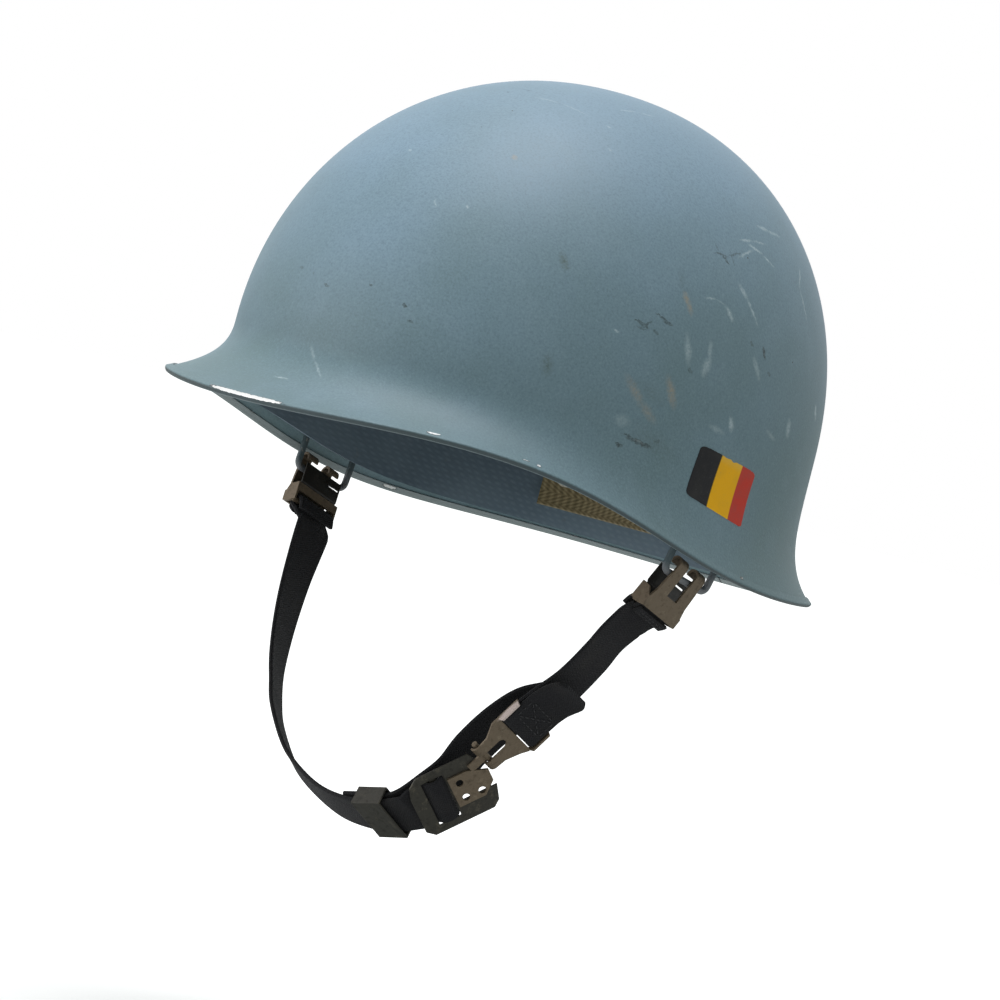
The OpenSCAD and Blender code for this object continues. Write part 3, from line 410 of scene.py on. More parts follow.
def marks_of(paint, place, marks, soft):
    """The share that the strongest of some marks has. Each mark is a thin ellipsoid between
    two places on the skin, and fades over the soft part of its half width."""
    most = 0.0
    for turn_a, level_a, turn_b, level_b, width, share in marks:
        a, b = skin([turn_a, turn_b], [level_a, level_b])
        face = outward((turn_a + turn_b) / 2, (level_a + level_b) / 2)
        along = unit(b - a)
        axes = np.stack([along, np.cross(face, along), face], 1)
        half = [np.linalg.norm(b - a) / 2 + width / 2, width / 2, MARK_DEPTH]
        mark = paint.near_place(place, (a + b) / 2, axes, half, soft, share)
        most = paint.maths("MAXIMUM", most, mark)
    return most


def worn_marks(paint):
    """Smudges, stains, pale rubs and bare scratches over the paint, all with ragged edges."""
    stir = paint.add("TexNoise", Vector=paint.place, Scale=1000 / 1.6, Detail=3.0,
                     Roughness=0.65).outputs["Color"]
    shift = paint.add("VectorMath", {"operation": "SUBTRACT"}, n0=stir,
                      n1=(0.5, 0.5, 0.5)).outputs[0]
    ragged = paint.add("VectorMath", {"operation": "MULTIPLY_ADD"}, n0=shift,
                       n1=(MARK_RAGGED,) * 3, n2=paint.place).outputs[0]
    flecks = paint.clouds(1.1, 3, 0.7, 0.36, 0.6, 0.35, 1.0)
    for marks, soft, tint in ((SMUDGES, 0.9, (74, 88, 78)), (STAINS, 0.9, (170, 150, 118)),
                              (RUBBED_MARKS, 0.7, (196, 212, 218)),
                              (BARE_MARKS, 0.4, (46, 58, 58))):
        share = marks_of(paint, ragged, marks, soft)
        paint.lay(paint.maths("MULTIPLY", share, flecks), tint)


def helmet_paint(name, marked=False, worn=1.0):
    """Matt paint: a base tone that grows paler towards the crown, clouds of fading, grit, pin
    chips and pale rubs.
    """
    paint = Finish(name)
    grit = paint.noise(0.9, 3, 0.6)
    # The tone grows paler towards the crown, from 20 to 175 mm up, and varies in large clouds
    paler_upward_and_clouds = paint.maths("ADD", paint.ramp(paint.split(paint.place)[2], 0.02, 0.175),
                        paint.clouds(65, 3, 0.55, 0.3, 0.7, -0.25, 0.25))
    paint.tone = paint.blend(paler_upward_and_clouds, (101, 126, 131), (124, 150, 168))
    paint.lay(paint.ramp(paint.noise(22, 4, 0.6, 0.6), 0.5, 0.78, 0, 0.35 * worn),
              (128, 152, 166))
    paint.lay(paint.ramp(grit, 0.3, 0.52, 0.34, 0), (70, 92, 106))
    paint.lay(paint.ramp(grit, 0.56, 0.78, 0, 0.3), (150, 173, 188))
    paint.lay(paint.clouds(3.2, 3, 0.6, 0.58, 0.8, 0, 0.2), (92, 116, 131))
    spots = paint.add("TexVoronoi", Vector=paint.place, Scale=110.0).outputs
    chance = paint.add("SeparateColor", Color=spots["Color"]).outputs[0]
    pins = paint.maths("MULTIPLY", paint.ramp(spots["Distance"], 0.045, 0.03),
                       paint.ramp(chance, 0.9, 0.91))
    paint.lay(pins, (58, 62, 58))
    if marked:
        worn_marks(paint)
    height = paint.maths("ADD", grit, paint.maths("MULTIPLY", pins, -1.5))
    paint.coat(Roughness=paint.ramp(grit, 0.25, 0.75, 0.5, 0.64), Specular_IOR_Level=0.5,
               Normal=paint.bump(height, 0.12, 0.8))
    return paint


shell_turns = np.arange(288) * 360 / 288
dome_levels = np.linspace(0, 1, 61)
skirt_levels = 1 + np.sin(np.linspace(0, np.pi / 2, 41))[1:]
shell_levels = np.concatenate([dome_levels, skirt_levels])[:, None]
outer = skin(shell_turns, shell_levels)
inner = inset(shell_turns, shell_levels, SIDE_FLARE, STEEL)
inner[0] = [0, MIDDLE + CROWN_BACK, CROWN - STEEL]
lip = (outer[-1] + 0.35 * rim_run(shell_turns)[0] + inner[-1]) / 2
shell_mesh = grid_mesh("steel_shell_painted", np.concatenate([outer, lip[None], inner[::-1]]),
                       flip=True, sharp=60)
piece(shell_mesh, helmet_paint("shell_paint", marked=True), "shell", ["steel_shell"])

# ---------------------------------------------------------------- rim edging
# A strip of stainless steel folded over the rim, with its two ends meeting at the rear. It is
# painted with the shell, and the paint has worn off it along the front.
EDGE_PLAY, EDGE_WALL, EDGE_LEG, EDGE_BEVEL, EDGE_SEAM = 0.12, 0.5, 2.8, 0.2, 0.6


def edging_grid(turns):
    """Rings round the rim. Each is a U of two legs that follow the skin and a round bottom,
    given by its distance from the middle of the steel and its height over the rim."""
    gap, low = STEEL / 2 + EDGE_PLAY, EDGE_PLAY + EDGE_WALL
    out = gap + EDGE_WALL
    curve = np.linspace(0, np.pi, 9)
    leg = [EDGE_LEG, EDGE_LEG - 0.12, 2.35, 2.0, 1.6, 1.2, 0.8, 0.4]
    inner_leg = [EDGE_LEG - 0.05, 2.0, 0.8]
    tip = out - EDGE_BEVEL
    aside = np.concatenate([[tip], [out] * 7, out * np.cos(curve), [-out] * 7, [-tip],
                            [-gap] * 3, -gap * np.cos(curve[::2]), [gap] * 3])
    above = np.concatenate([leg, -low * np.sin(curve), leg[::-1], inner_leg,
                            -EDGE_PLAY * np.sin(curve[::2]), inner_leg[::-1]])
    down, run = rim_run(turns)
    level = 2 - np.maximum(above, 0) / run[:, None]
    grid = inset(turns[:, None], level, SIDE_FLARE, STEEL / 2 - aside[None, :])
    return grid + down[:, None] * np.maximum(-above, 0)[:, None]


half_seam = np.degrees(np.arcsin(EDGE_SEAM / 2 / REAR))
edge_turns = 180 + half_seam + np.linspace(0, 360 - 2 * half_seam, 901)
edging = edging_grid(edge_turns)
across = np.arange(edging.shape[1] + 1) / edging.shape[1]
edging_uv = np.stack(np.broadcast_arrays(
    ((edge_turns + 180) % 360 - 180)[:, None] / 360 + 0.5, across), -1)
edging_mesh = grid_mesh("rim_edging_folded", edging, edging_uv)

# Places where the paint is gone: middle and half length round the rim, in degrees, how much is
# bare, and the height of the place over the rim and its half height, in millimetres. Each
# place fades out a little past its half length and its half height.
BARE_PLACES = [
    (2.6, 8.2, 1.3, 0.6, 0.7), (11.9, 0.5, 0.6, 2.2, 0.7), (13.5, 0.7, 0.7, 2.2, 0.7),
    (15.9, 1.0, 0.6, 2.3, 0.7), (19, 0.5, 0.5, 2.2, 0.6), (33.6, 1.3, 1.0, 2.0, 1.1),
    (44.4, 0.4, 0.5, 2.0, 0.6), (48.7, 0.8, 0.9, 2.2, 0.8), (51, 0.5, 0.7, 1.8, 0.8),
    (101.5, 0.8, 0.5, 2.0, 1.1), (-36, 1.8, 0.6, 1, 1), (-71, 1.5, 0.6, 1, 1),
    (-112, 2.2, 0.7, 0.5, 1), (168, 3, 0.8, 0.5, 1.2), (-150, 1.3, 0.6, 1, 1),
    (139, 0.9, 0.6, 1, 1)]
points = np.empty(len(edging_mesh.vertices) * 3, np.float32)
edging_mesh.vertices.foreach_get("co", points)
points = points.reshape(-1, 3) / MM
turn_here = np.degrees(np.arctan2(points[:, 0], MIDDLE - points[:, 1]))
over_rim = points[:, 2] - rim_height(turn_here)
bare = np.zeros(len(points))
for middle, half, share, height, tall in BARE_PLACES:
    away = abs((turn_here - middle + 180) % 360 - 180) / half
    bare = np.maximum(bare, share * np.clip(1.25 - away ** 2, 0, 1)
                      * np.clip(1.3 - abs(over_rim - height) / tall, 0, 1))
layer = edging_mesh.attributes.new("bare", "FLOAT", "POINT")
layer.data.foreach_set("value", bare.astype(np.float32))

# The bottom of the fold, which faces down, is painted dark as shade, and it is paler from where
# it turns inward
paint = helmet_paint("edging_paint", worn=0.6)
worn = paint.add("Attribute", {"attribute_name": "bare"}).outputs["Fac"]
ragged = paint.maths("ADD", worn, paint.clouds(1.6, 4, 0.65, 0.3, 0.7, -0.2, 0.2))
bare_share = paint.ramp(ragged, 0.55, 0.63)
round_it = paint.flat()[1]
paint.lay(paint.ramp(round_it, 0.36, 0.42, 0, 0.75), (150, 158, 158))
# Painted shade: the round bottom of the fold is darkened
paint.lay(paint.maths("MULTIPLY", paint.ramp(round_it, 0.25, 0.3),
                      paint.ramp(round_it, 0.42, 0.36, 0, 0.85)), (50, 60, 62))
paint.lay(paint.ramp(ragged, 0.36, 0.52), (62, 68, 70))
paint.lay(bare_share, (232, 233, 232))
paint.coat(Metallic=paint.maths("MULTIPLY", bare_share, 0.55),
           Roughness=paint.ramp(bare_share, 0, 1, 0.55, 0.4))
piece(edging_mesh, paint, "shell", ["rim_edging"])

# ---------------------------------------------------------------- stripe transfer
# A water-slide transfer of three upright stripes on the wearer's left, laid on the paint. Its
# corners are round, and its upper edge has torn a little.
DECAL_FRONT, DECAL_REAR, DECAL_SLANT = 85.7, 104.0, 1.6
DECAL_TOP, DECAL_BOTTOM = (1.06, 1.16), (1.515, 1.59)
DECAL_WIDE, DECAL_TALL, DECAL_LIFT, DECAL_UNDER = 35.0, 27.0, 0.13, 0.03


def decal_grid(columns, rows, lift):
    """Rows from the upper to the lower edge. Each row's ends draw in near the corners by a
    quarter circle, and the edges waver by a few tenths of a millimetre."""
    down = np.linspace(0, 1, rows)[:, None]
    share = np.linspace(0, 1, columns)
    rng = np.random.default_rng(5)
    near_end = np.minimum(down, 1 - down) * DECAL_TALL

    def corner(radius):
        return radius - np.sqrt(np.maximum(
            radius ** 2 - np.maximum(radius - near_end, 0) ** 2, 0))

    front = corner(2.4) + 0.12 * rng.random((rows, 1))
    back = corner(np.where(down < 0.5, 2.0, 1.5)) + 0.1 * rng.random((rows, 1))
    across = (front + share * (DECAL_WIDE - front - back)) / DECAL_WIDE
    torn = np.interp(share, [0, 0.3, 0.42, 0.5, 0.56, 0.62, 0.8, 1],
                     [0, 0, 0.5, 0.1, 0.9, 0.2, 0.1, 0.3]) + 0.25 * rng.random(columns)
    low = 0.12 * rng.random(columns)
    lower = down + (1 - down) * torn / DECAL_TALL - down * low / DECAL_TALL
    level = ((DECAL_TOP[0] + (DECAL_TOP[1] - DECAL_TOP[0]) * across) * (1 - lower)
             + (DECAL_BOTTOM[0] + (DECAL_BOTTOM[1] - DECAL_BOTTOM[0]) * across) * lower)
    turn = DECAL_FRONT + (DECAL_REAR - DECAL_FRONT) * across - DECAL_SLANT * lower
    return inset(turn, level, SIDE_FLARE, -lift), np.stack(
        np.broadcast_arrays(across, lower), -1)


def thin_sheet(top, under, uv):
    """One closed skin from a sheet's two faces: each row runs over the top and back below,
    and the first and last rows fold shut on their middle line."""
    middle = (top + under) / 2
    rings = np.concatenate([top, under[:, ::-1]], 1)
    folds = np.concatenate([middle, middle[:, ::-1]], 1)
    both = np.concatenate([uv, uv[:, ::-1], uv[:, :1]], 1)
    return (np.concatenate([folds[:1], rings, folds[-1:]]),
            np.concatenate([both[:1], both, both[-1:]]))


face, face_uv = decal_grid(91, 61, DECAL_LIFT)
under_face = decal_grid(91, 61, DECAL_UNDER)[0]
film = Finish("transfer")
across, down = film.flat()[:2]
yellow = film.blend(film.ramp(down, 0.16, 0.0, 0, 0.5), (255, 188, 18), (244, 206, 104))
red = film.blend(film.clouds(5, 3, 0.5, 0.4, 0.7), (206, 62, 48), (192, 70, 60))
film.tone = film.blend(film.ramp(across, 0.342, 0.346), (20, 21, 24), (58, 54, 14))
film.lay(film.ramp(across, 0.35, 0.362), yellow)
film.lay(film.ramp(across, 0.726, 0.738), red)
film.lay(film.clouds(0.7, 3, 0.6, 0.64, 0.76, 0, 0.25), (120, 130, 130))
film.lay(film.clouds(7, 3, 0.5, 0.45, 0.8, 0, 0.12), (96, 94, 84))
film.coat(Roughness=0.6, Specular_IOR_Level=0.25,
          Normal=film.bump(film.noise(0.9, 3, 0.6), 0.06, 0.7))
piece(grid_mesh("stripe_transfer", *thin_sheet(face, under_face, face_uv), flip=True, sharp=40),
      film, "shell", ["side_decal"])

# ---------------------------------------------------------------- bale brackets and bales
# Sheet brackets spot welded inside the rim, each rolled into a barrel round its bale. The
# bales are closed loops of steel wire, painted with the shell and worn bright on their bends.
BALE_WIRE, BALE_WIDTH, BALE_DROP, BALE_CORNER = 2.8, 27, 18, 3.0
BALE_TILT, BALE_YAW, BALE_LEAN = 12, 3.5, 6
HINGE_TURN, HINGE_LEVEL, BRACKET_HALF, BARREL_OUT = 93.4, 1.756, 0.55, 2.28
HINGE = inset(HINGE_TURN, HINGE_LEVEL, SIDE_FLARE, STEEL + BRACKET_HALF) \
    - BARREL_OUT * outward(HINGE_TURN, HINGE_LEVEL)


def turned(points, axis, angle):
    """Points turned about X, Y or Z by an angle in degrees."""
    c, s = cosd(angle), sind(angle)
    matrix = {"x": [[1, 0, 0], [0, c, -s], [0, s, c]], "y": [[c, 0, s], [0, 1, 0], [-s, 0, c]],
              "z": [[c, -s, 0], [s, c, 0], [0, 0, 1]]}[axis]
    return np.asarray(points, float) @ np.array(matrix, float).T


def from_bale(points):
    """The bale hangs from its hinge line, leaning in a little to the head."""
    hung = turned(turned(points, "y", BALE_LEAN), "x", -BALE_TILT)
    return HINGE + turned(hung, "z", BALE_YAW)


def mirrored(points):
    return np.asarray(points, float) * [-1, 1, 1]


def bale_path():
    """The middle of the wire: four straight runs joined by quarter circles."""
    half, low, r = BALE_WIDTH / 2, -BALE_DROP, BALE_CORNER
    corners = [(half - r, -r, 90), (-half + r, -r, 180), (-half + r, low + r, 270),
               (half - r, low + r, 360)]
    runs = []
    for (y, z, start), (y2, z2, _) in zip(corners, corners[1:] + corners[:1]):
        angle = start - 90 + np.linspace(0, 90, 10)
        arc = np.stack([0 * angle, y + r * cosd(angle), z + r * sind(angle)], 1)
        end = np.array([0, y2 + r * cosd(start), z2 + r * sind(start)])
        runs += [arc, arc[-1] + (end - arc[-1]) * np.linspace(0, 1, 9)[1:-1, None]]
    return np.concatenate(runs)


def wire_grid(path, radius, sides):
    """Rings of a round wire along a closed path that lies square to X."""
    along = unit(np.roll(path, -1, 0) - np.roll(path, 1, 0))
    one = unit(np.cross(along, [1, 0, 0]))[:, None]
    two = np.cross(along[:, None], one)
    angle = np.linspace(0, 2 * np.pi, sides, endpoint=False)[:, None]
    return path[:, None] + radius * (np.cos(angle) * one + np.sin(angle) * two)


wire_paint = helmet_paint("bale_wire", worn=0.4)
rub = wire_paint.clouds(3, 4, 0.7, 0.6, 0.68)
bar_height = from_bale([0, 0, -BALE_DROP])[2] * MM
wire_paint.lay(0.8, (50, 61, 64))
wire_paint.lay(wire_paint.ramp(wire_paint.split(wire_paint.place)[2], bar_height + 0.006,
                               bar_height + 0.002, 0, 0.55), (132, 130, 134))
wire_paint.lay(rub, (148, 146, 140))
wire_paint.coat(Roughness=wire_paint.ramp(rub, 0, 1, 0.5, 0.34),
                Metallic=wire_paint.maths("MULTIPLY", rub, 0.8))
bale_rings = from_bale(wire_grid(bale_path(), BALE_WIRE / 2, 18))
for side, rings in (("left", bale_rings), ("right", mirrored(bale_rings))):
    piece(grid_mesh("bale_loop_" + side, rings, loop=True, flip=side == "right", sharp=0),
          wire_paint, side + "_bale", ["bale_" + side])

SHARP_ANGLE, FLAT_ANGLE = 30, 1.0


def dressed(node, name, finish, body, edge):
    """A copy of a CAD solid, merged, its flat faces rejoined and its edges rounded over."""
    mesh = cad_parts[node].data.copy()
    mesh.name = name
    work = bmesh.new()
    work.from_mesh(mesh)
    bmesh.ops.remove_doubles(work, verts=work.verts, dist=2e-6)
    bmesh.ops.dissolve_limit(work, angle_limit=np.radians(FLAT_ANGLE), verts=work.verts,
                             edges=work.edges)
    work.to_mesh(mesh)
    work.free()
    made = piece(smooth(mesh, SHARP_ANGLE), finish, body, [node])
    bevel = made.modifiers.new("edges", "BEVEL")
    bevel.width = edge * MM
    bevel.segments = 2
    bevel.limit_method = "ANGLE"
    bevel.angle_limit = np.radians(SHARP_ANGLE)
    bevel.harden_normals = False


dressed("bale_bracket_left", "bracket_left", wire_paint, "shell", 0.12)
dressed("bale_bracket_right", "bracket_right", wire_paint, "shell", 0.12)

# ---------------------------------------------------------------- liner
# A lighter shell, moulded from resin and cloth, that the steel drops over. It is sprayed matt
# in the steel's colour outside and shows its cloth through thin paint inside.
LINER_GAP, SEAT_GAP, LINER_WALL, LINER_SHARE = 3.0, 0.3, 2.0, 0.92


def liner_space(turn, level):
    """Space to the steel, which closes at the lower edge in front and behind."""
    return LINER_GAP - (LINER_GAP - SEAT_GAP) * np.clip((level - 1) / LINER_SHARE, 0, 1) ** 4 \
        * abs(cosd(turn)) ** 2


def liner_face(depth):
    """A face of the liner at a depth under its outside."""
    turns = np.arange(240) * 1.5
    levels = np.concatenate([dome_levels, 1 + (skirt_levels - 1) * LINER_SHARE])[:, None]
    grid = inset(turns, levels, 0, STEEL + liner_space(turns, levels) + depth)
    grid[0] = [0, MIDDLE + CROWN_BACK, CROWN - STEEL - LINER_GAP - depth]
    return grid


resin = Finish("liner_shell")
cloth = [resin.add("TexWave", {"wave_type": "BANDS", "bands_direction": way}, Scale=scale,
                   Vector=resin.place, Distortion=1.5, Detail=2.0).outputs["Fac"]
         for way, scale in (("Z", 140.0), ("DIAGONAL", 120.0))]
weave = resin.maths("MULTIPLY", *cloth)
resin.tone = resin.blend(resin.clouds(40, 4, 0.6, 0.35, 0.7), (74, 92, 105), (88, 106, 118))
resin.lay(resin.ramp(weave, 0.1, 0.8, 0, 0.3), (104, 120, 130))
resin.lay(resin.clouds(9, 5, 0.7, 0.62, 0.74, 0, 0.35), (96, 92, 78))
resin.coat(Roughness=0.72, Normal=resin.bump(weave, 0.1, 0.6))
liner_grid = np.concatenate([liner_face(0), liner_face(LINER_WALL)[::-1]])
piece(grid_mesh("liner_moulded", liner_grid, flip=True, sharp=60), resin, "liner",
      ["liner_shell"])

# ---------------------------------------------------------------- liner suspension
# Cotton webbing in herringbone weave: three straps cross under the crown and a band runs
# round the head, held to the liner by six rivets with sheet washers.
WEB_WIDE, WEB_THICK, WEB_STEP, BAND_FLAT = 20.0, 1.6, 0.8, 10
RIVET_HEIGHT, CROSS_HEIGHT, CROSS_STEP, ARCH_POWER = 74.0, 150.0, 1.9, 1.5
WALL_SPACE, LAYER_SPACE, WASHER = 1.5, 0.1, 0.8
# Shares of the tape's half width: where its edge turns round, and the thicker selvage
ROUND_FROM, SELVAGE_AT, SELVAGE_WIDE, SELVAGE_RISE = 0.93, 0.9, 0.05, 0.14
FOOT_RUN = [-8, 0, 11.5]                   # heights along the wall, from the rivet's middle
rivet_rise = (RIVET_HEIGHT - BELT) / (CROWN - BELT)
rivet_level = np.degrees(np.arccos(rivet_rise ** (DOME_POWER / 2))) / 90
liner_inside = STEEL + LINER_GAP + LINER_WALL
strap_depth = liner_inside + WALL_SPACE + WEB_THICK / 2
web_depth = strap_depth + WEB_THICK + LAYER_SPACE
rivet_turns = np.arange(6) * 60.0
rivet_out = outward(rivet_turns, rivet_level, 0)
wall_side = unit(np.cross([0, 0, 1], rivet_out))
wall_up = np.cross(rivet_out, wall_side)


def soften(rows, blur):
    """Rows of a route joined by straight lines, cut into even steps, then averaged with a
    bell curve as wide as blur millimetres. The ends stay where they are."""
    run = np.cumsum(np.linalg.norm(np.diff(rows[:, :3], axis=0), axis=1))
    run = np.concatenate([[0], run])
    even = np.linspace(0, run[-1], max(int(round(run[-1] / WEB_STEP)), 3) + 1)
    cut = np.stack([np.interp(even, run, column) for column in rows.T], 1)
    reach = int(np.ceil(3 * blur / WEB_STEP))
    bell = np.exp(-0.5 * (np.arange(-reach, reach + 1) * WEB_STEP / blur) ** 2)
    before = 2 * cut[0] - cut[reach:0:-1]
    after = 2 * cut[-1] - cut[-2:-reach - 2:-1]
    long = np.concatenate([before, cut, after])
    return np.stack([np.convolve(column, bell / bell.sum(), "valid")
                     for column in long.T], 1), even


def band_grid(rows, across, half, thick, blur, loop=False):
    """A flat band carried along a route. Its section is a rounded oblong with thicker
    selvages. Each ring stands square to the route, with its width along across."""
    rows = np.asarray(rows, float)
    full = np.column_stack([rows, np.broadcast_to(across, rows.shape),
                            np.broadcast_to(half, (len(rows),))])
    cut, run = soften(full, blur)
    if loop:
        cut = cut[:-1]
    path, lean, wide = cut[:, :3], cut[:, 3:6], cut[:, 6:]
    along = unit(np.roll(path, -1, 0) - np.roll(path, 1, 0)) if loop \
        else unit(np.gradient(path, axis=0))
    side = unit(lean - along * np.sum(lean * along, 1, keepdims=True))
    face = np.cross(along, side)
    share = np.concatenate([np.linspace(-1, 1, 15), np.linspace(1, -1, 15)])
    share = np.sign(share) * (1 - (1 - abs(share)) ** 1.6)
    turn_in = np.clip((abs(share) - ROUND_FROM) / (1 - ROUND_FROM), 0, 1)
    rise = SELVAGE_RISE * np.exp(-((abs(share) - SELVAGE_AT) / SELVAGE_WIDE) ** 2)
    over = np.sqrt(1 - turn_in ** 2) / 2 * (1 + rise) * np.repeat([-1, 1], 15)
    flat = path[:, None] + side[:, None] * (wide * share)[..., None]
    rings = flat + face[:, None] * (thick * over)[:, None]
    u = wide * np.append(share, share[0]) / 10
    v = np.broadcast_to(run[:, None] / 10, (len(run), u.shape[1]))
    if loop:
        return rings, np.stack([np.concatenate([u, u[:1]]), v], -1)
    uv = np.stack([u, v], -1)
    return np.concatenate([flat[:1], rings, flat[-1:]]), np.concatenate([uv[:1], uv, uv[-1:]])


def webbing_finish(name, dark, mid, light, dust, rib, row, twill=0.0, fuzz=0.12):
    """Woven cotton tape from its own UV in centimetres: ribs along it and rows across, which
    a saw-tooth turns into herringbone, with a darker selvage, dust and loose fibres. Its tone
    follows the weave's relief: painted shade in the hollows and a painted highlight on the tops."""
    cloth = Finish(name)
    maths, ramp = cloth.maths, cloth.ramp
    u, v = cloth.flat()[:2]
    v = maths("ADD", v, maths("MULTIPLY", maths("PINGPONG", u, 0.45), twill))
    cross = maths("MULTIPLY", maths("SINE", maths("MULTIPLY", u, 10 * np.pi / rib)),
                  maths("SINE", maths("MULTIPLY", v, 10 * np.pi / row)))
    over = maths("ADD", maths("MULTIPLY", cross, 0.5), 0.5)
    height = maths("ADD", over, maths("MULTIPLY", cloth.noise(0.6, 3, 0.7), 0.7))
    # Painted shade in the weave's hollows and a painted highlight on its tops, over a fine noise
    cloth.tone = cloth.blend(ramp(height, 0.35, 1.1), dark, mid)
    cloth.lay(ramp(height, 1.0, 1.5, 0, 0.7), light)
    cloth.lay(ramp(maths("ABSOLUTE", u), 0.86, 0.93, 0, 0.35), dark)
    cloth.lay(cloth.clouds(14, 4, 0.65, 0.5, 0.75, 0, 0.4), dust)
    cloth.coat(Roughness=0.88, Specular_IOR_Level=0.3, Sheen_Weight=fuzz, Sheen_Roughness=0.5,
               Normal=cloth.bump(height, 0.16, 0.9))
    return cloth


khaki = webbing_finish("khaki_webbing", (98, 88, 62), (138, 126, 94), (170, 158, 124),
                       (120, 104, 76), rib=1.6, row=1.5, twill=1.0)


def joined(name, grids):
    """Several closed grids, each with its UV or none, in one mesh."""
    work = bmesh.new()
    for grid, uv in grids:
        part = grid_mesh("part", grid, uv, sharp=0)
        work.from_mesh(part)
        bpy.data.meshes.remove(part)
    mesh = bpy.data.meshes.new(name)
    work.to_mesh(mesh)
    work.free()
    return smooth(mesh, 50)


crown_straps = []
for i in range(3):
    foot = [inset(rivet_turns[k], rivet_level, 0, strap_depth) + np.outer(FOOT_RUN, wall_up[k])
            for k in (i, i + 3)]
    a, b = foot[0][2], foot[1][2]
    swing = np.linspace(-90, 90, 33)[1:-1]
    aside = np.sign(sind(swing)) * abs(sind(swing)) ** (2 / ARCH_POWER)
    rise = np.maximum(cosd(swing), 0) ** (2 / ARCH_POWER)
    arch = (a + b) / 2 + (b - a) / 2 * aside[:, None]
    arch[:, 2] = a[2] + (CROSS_HEIGHT + i * CROSS_STEP - a[2]) * rise
    rows = np.concatenate([foot[0], arch, foot[1][::-1]])
    straight = unit(np.cross(b - a, [0, 0, 1]))
    here, last = np.arange(len(rows))[:, None], len(rows) - 1
    share = np.clip((np.minimum(here, last - here) - 2) / 12, 0, 1)
    lean = np.where(here < last / 2, wall_side[i], -wall_side[i + 3])
    lean = lean + (straight - lean) * share
    crown_straps.append(band_grid(rows, lean, WEB_WIDE / 2, WEB_THICK, 2.0))
piece(joined("crown_straps", crown_straps), khaki, "liner", ["crown_webbing"])

# The head band lies flat on both sides of each rivet and bends between them
web_corner = inset(rivet_turns, rivet_level, 0, web_depth)
flat_after, flat_before = web_corner + wall_side * BAND_FLAT, web_corner - wall_side * BAND_FLAT
stretch = np.linspace(0, 1, 12)[:, None]
rows = flat_after[:, None] * (1 - stretch) + np.roll(flat_before, -1, 0)[:, None] * stretch
band_out = unit(rivet_out[:, None] * (1 - stretch) + np.roll(rivet_out, -1, 0)[:, None] * stretch)
lean = np.cross(band_out, unit(np.cross([0, 0, 1], band_out)))
rows, lean = (np.vstack([each.reshape(-1, 3), each[0, :1]]) for each in (rows, lean))
grid, uv = band_grid(rows, lean, WEB_WIDE / 2, WEB_THICK, 2.0, loop=True)
piece(grid_mesh("head_band_webbing", grid, uv, loop=True), khaki, "liner", ["headband_web"])


def metal_finish(name, base, worn, dirt, rough=0.38, worn_share=0.5, metallic=0.85, pits=0.05):
    """Plated or blackened sheet metal: the base finish, rubbed places, dirt and small pits."""
    metal = Finish(name)
    cloud = metal.noise(4.5, 5, 0.7)
    grime = metal.clouds(2.2, 5, 0.7, 0.52, 0.7, 0, 0.7)
    metal.tone = metal.blend(metal.ramp(cloud, worn_share, worn_share + 0.2), base, worn)
    metal.lay(grime, dirt)
    grain = metal.maths("ADD", metal.noise(0.5, 3, 0.6), cloud)
    metal.coat(Metallic=metallic, Normal=metal.bump(grain, pits, 0.8),
               Roughness=metal.ramp(metal.maths("ADD", cloud, grime), 0.3, 1.3, rough,
                                    rough + 0.28))
    return metal


plated = metal_finish("plated_steel", (176, 172, 158), (204, 200, 188), (98, 86, 66))
dressed("web_washers", "web_washers_pressed", plated, "liner", 0.2)


def set_on_wall(turn, level, profile):
    """Turned parts in the liner's outer face: a profile of radii and heights swept round the
    outward axis of each place."""
    spot = inset(turn, level, 0, liner_inside - LINER_WALL)[:, None, None]
    out = outward(turn, level, 0)[:, None, None]
    side = unit(np.cross([0, 0, 1], out))
    radius, height = np.array(profile, float).T[:, :, None, None]
    angle = np.linspace(0, 2 * np.pi, 28, endpoint=False)[:, None]
    ring = spot + height * out + radius * (np.cos(angle) * side
                                           + np.sin(angle) * np.cross(out, side))
    return [(each, None) for each in ring]


washer_depth = web_depth + WEB_THICK / 2 + LAYER_SPACE
grip = washer_depth + WASHER + LAYER_SPACE - liner_inside + LINER_WALL
rivet_shape = [(0, 1.25), (1.6, 1.22), (3.0, 1.02), (4.0, 0.65), (4.5, 0.25), (4.45, 0.1),
               (1.5, 0.1), (1.5, -grip), (3.15, -grip), (3.1, -grip - 0.5),
               (2.6, -grip - 0.95), (1.7, -grip - 1.18), (1.1, -grip - 1.0), (0, -grip - 0.85)]
rivets = joined("liner_rivets_domed", set_on_wall(rivet_turns, rivet_level, rivet_shape))
piece(rivets, plated, "liner", ["liner_rivets"])

# ---------------------------------------------------------------- sweatband
# A ring of brown leather over a tape core, with a rolled upper edge and two rows of stitches.
# Six steel clips hook it to the head band.
SWEAT_WIDE, SWEAT_LONG, SWEAT_HIGH, SWEAT_THICK = 80.0, 92.0, 32.0, 2.2
SWEAT_TOP, SWEAT_MIDDLE, SWEAT_BOW, SWEAT_RIPPLE, RIPPLES = 70.0, 4.6, 0.35, 0.25, 14


def sweat_point(turn, down, out):
    """A point of the leather ring: an oval that bows in a little at half its height, and
    ripples more towards its lower edge."""
    turn, down, out = np.broadcast_arrays(turn, down, out)
    share = np.clip(down / SWEAT_HIGH, 0, 1)
    reach = out - SWEAT_BOW * np.sin(np.pi * share) + SWEAT_RIPPLE * sind(RIPPLES * turn) * share
    return np.stack([(SWEAT_WIDE + reach) * sind(turn),
                     SWEAT_MIDDLE - (SWEAT_LONG + reach) * cosd(turn), SWEAT_TOP - down], -1)


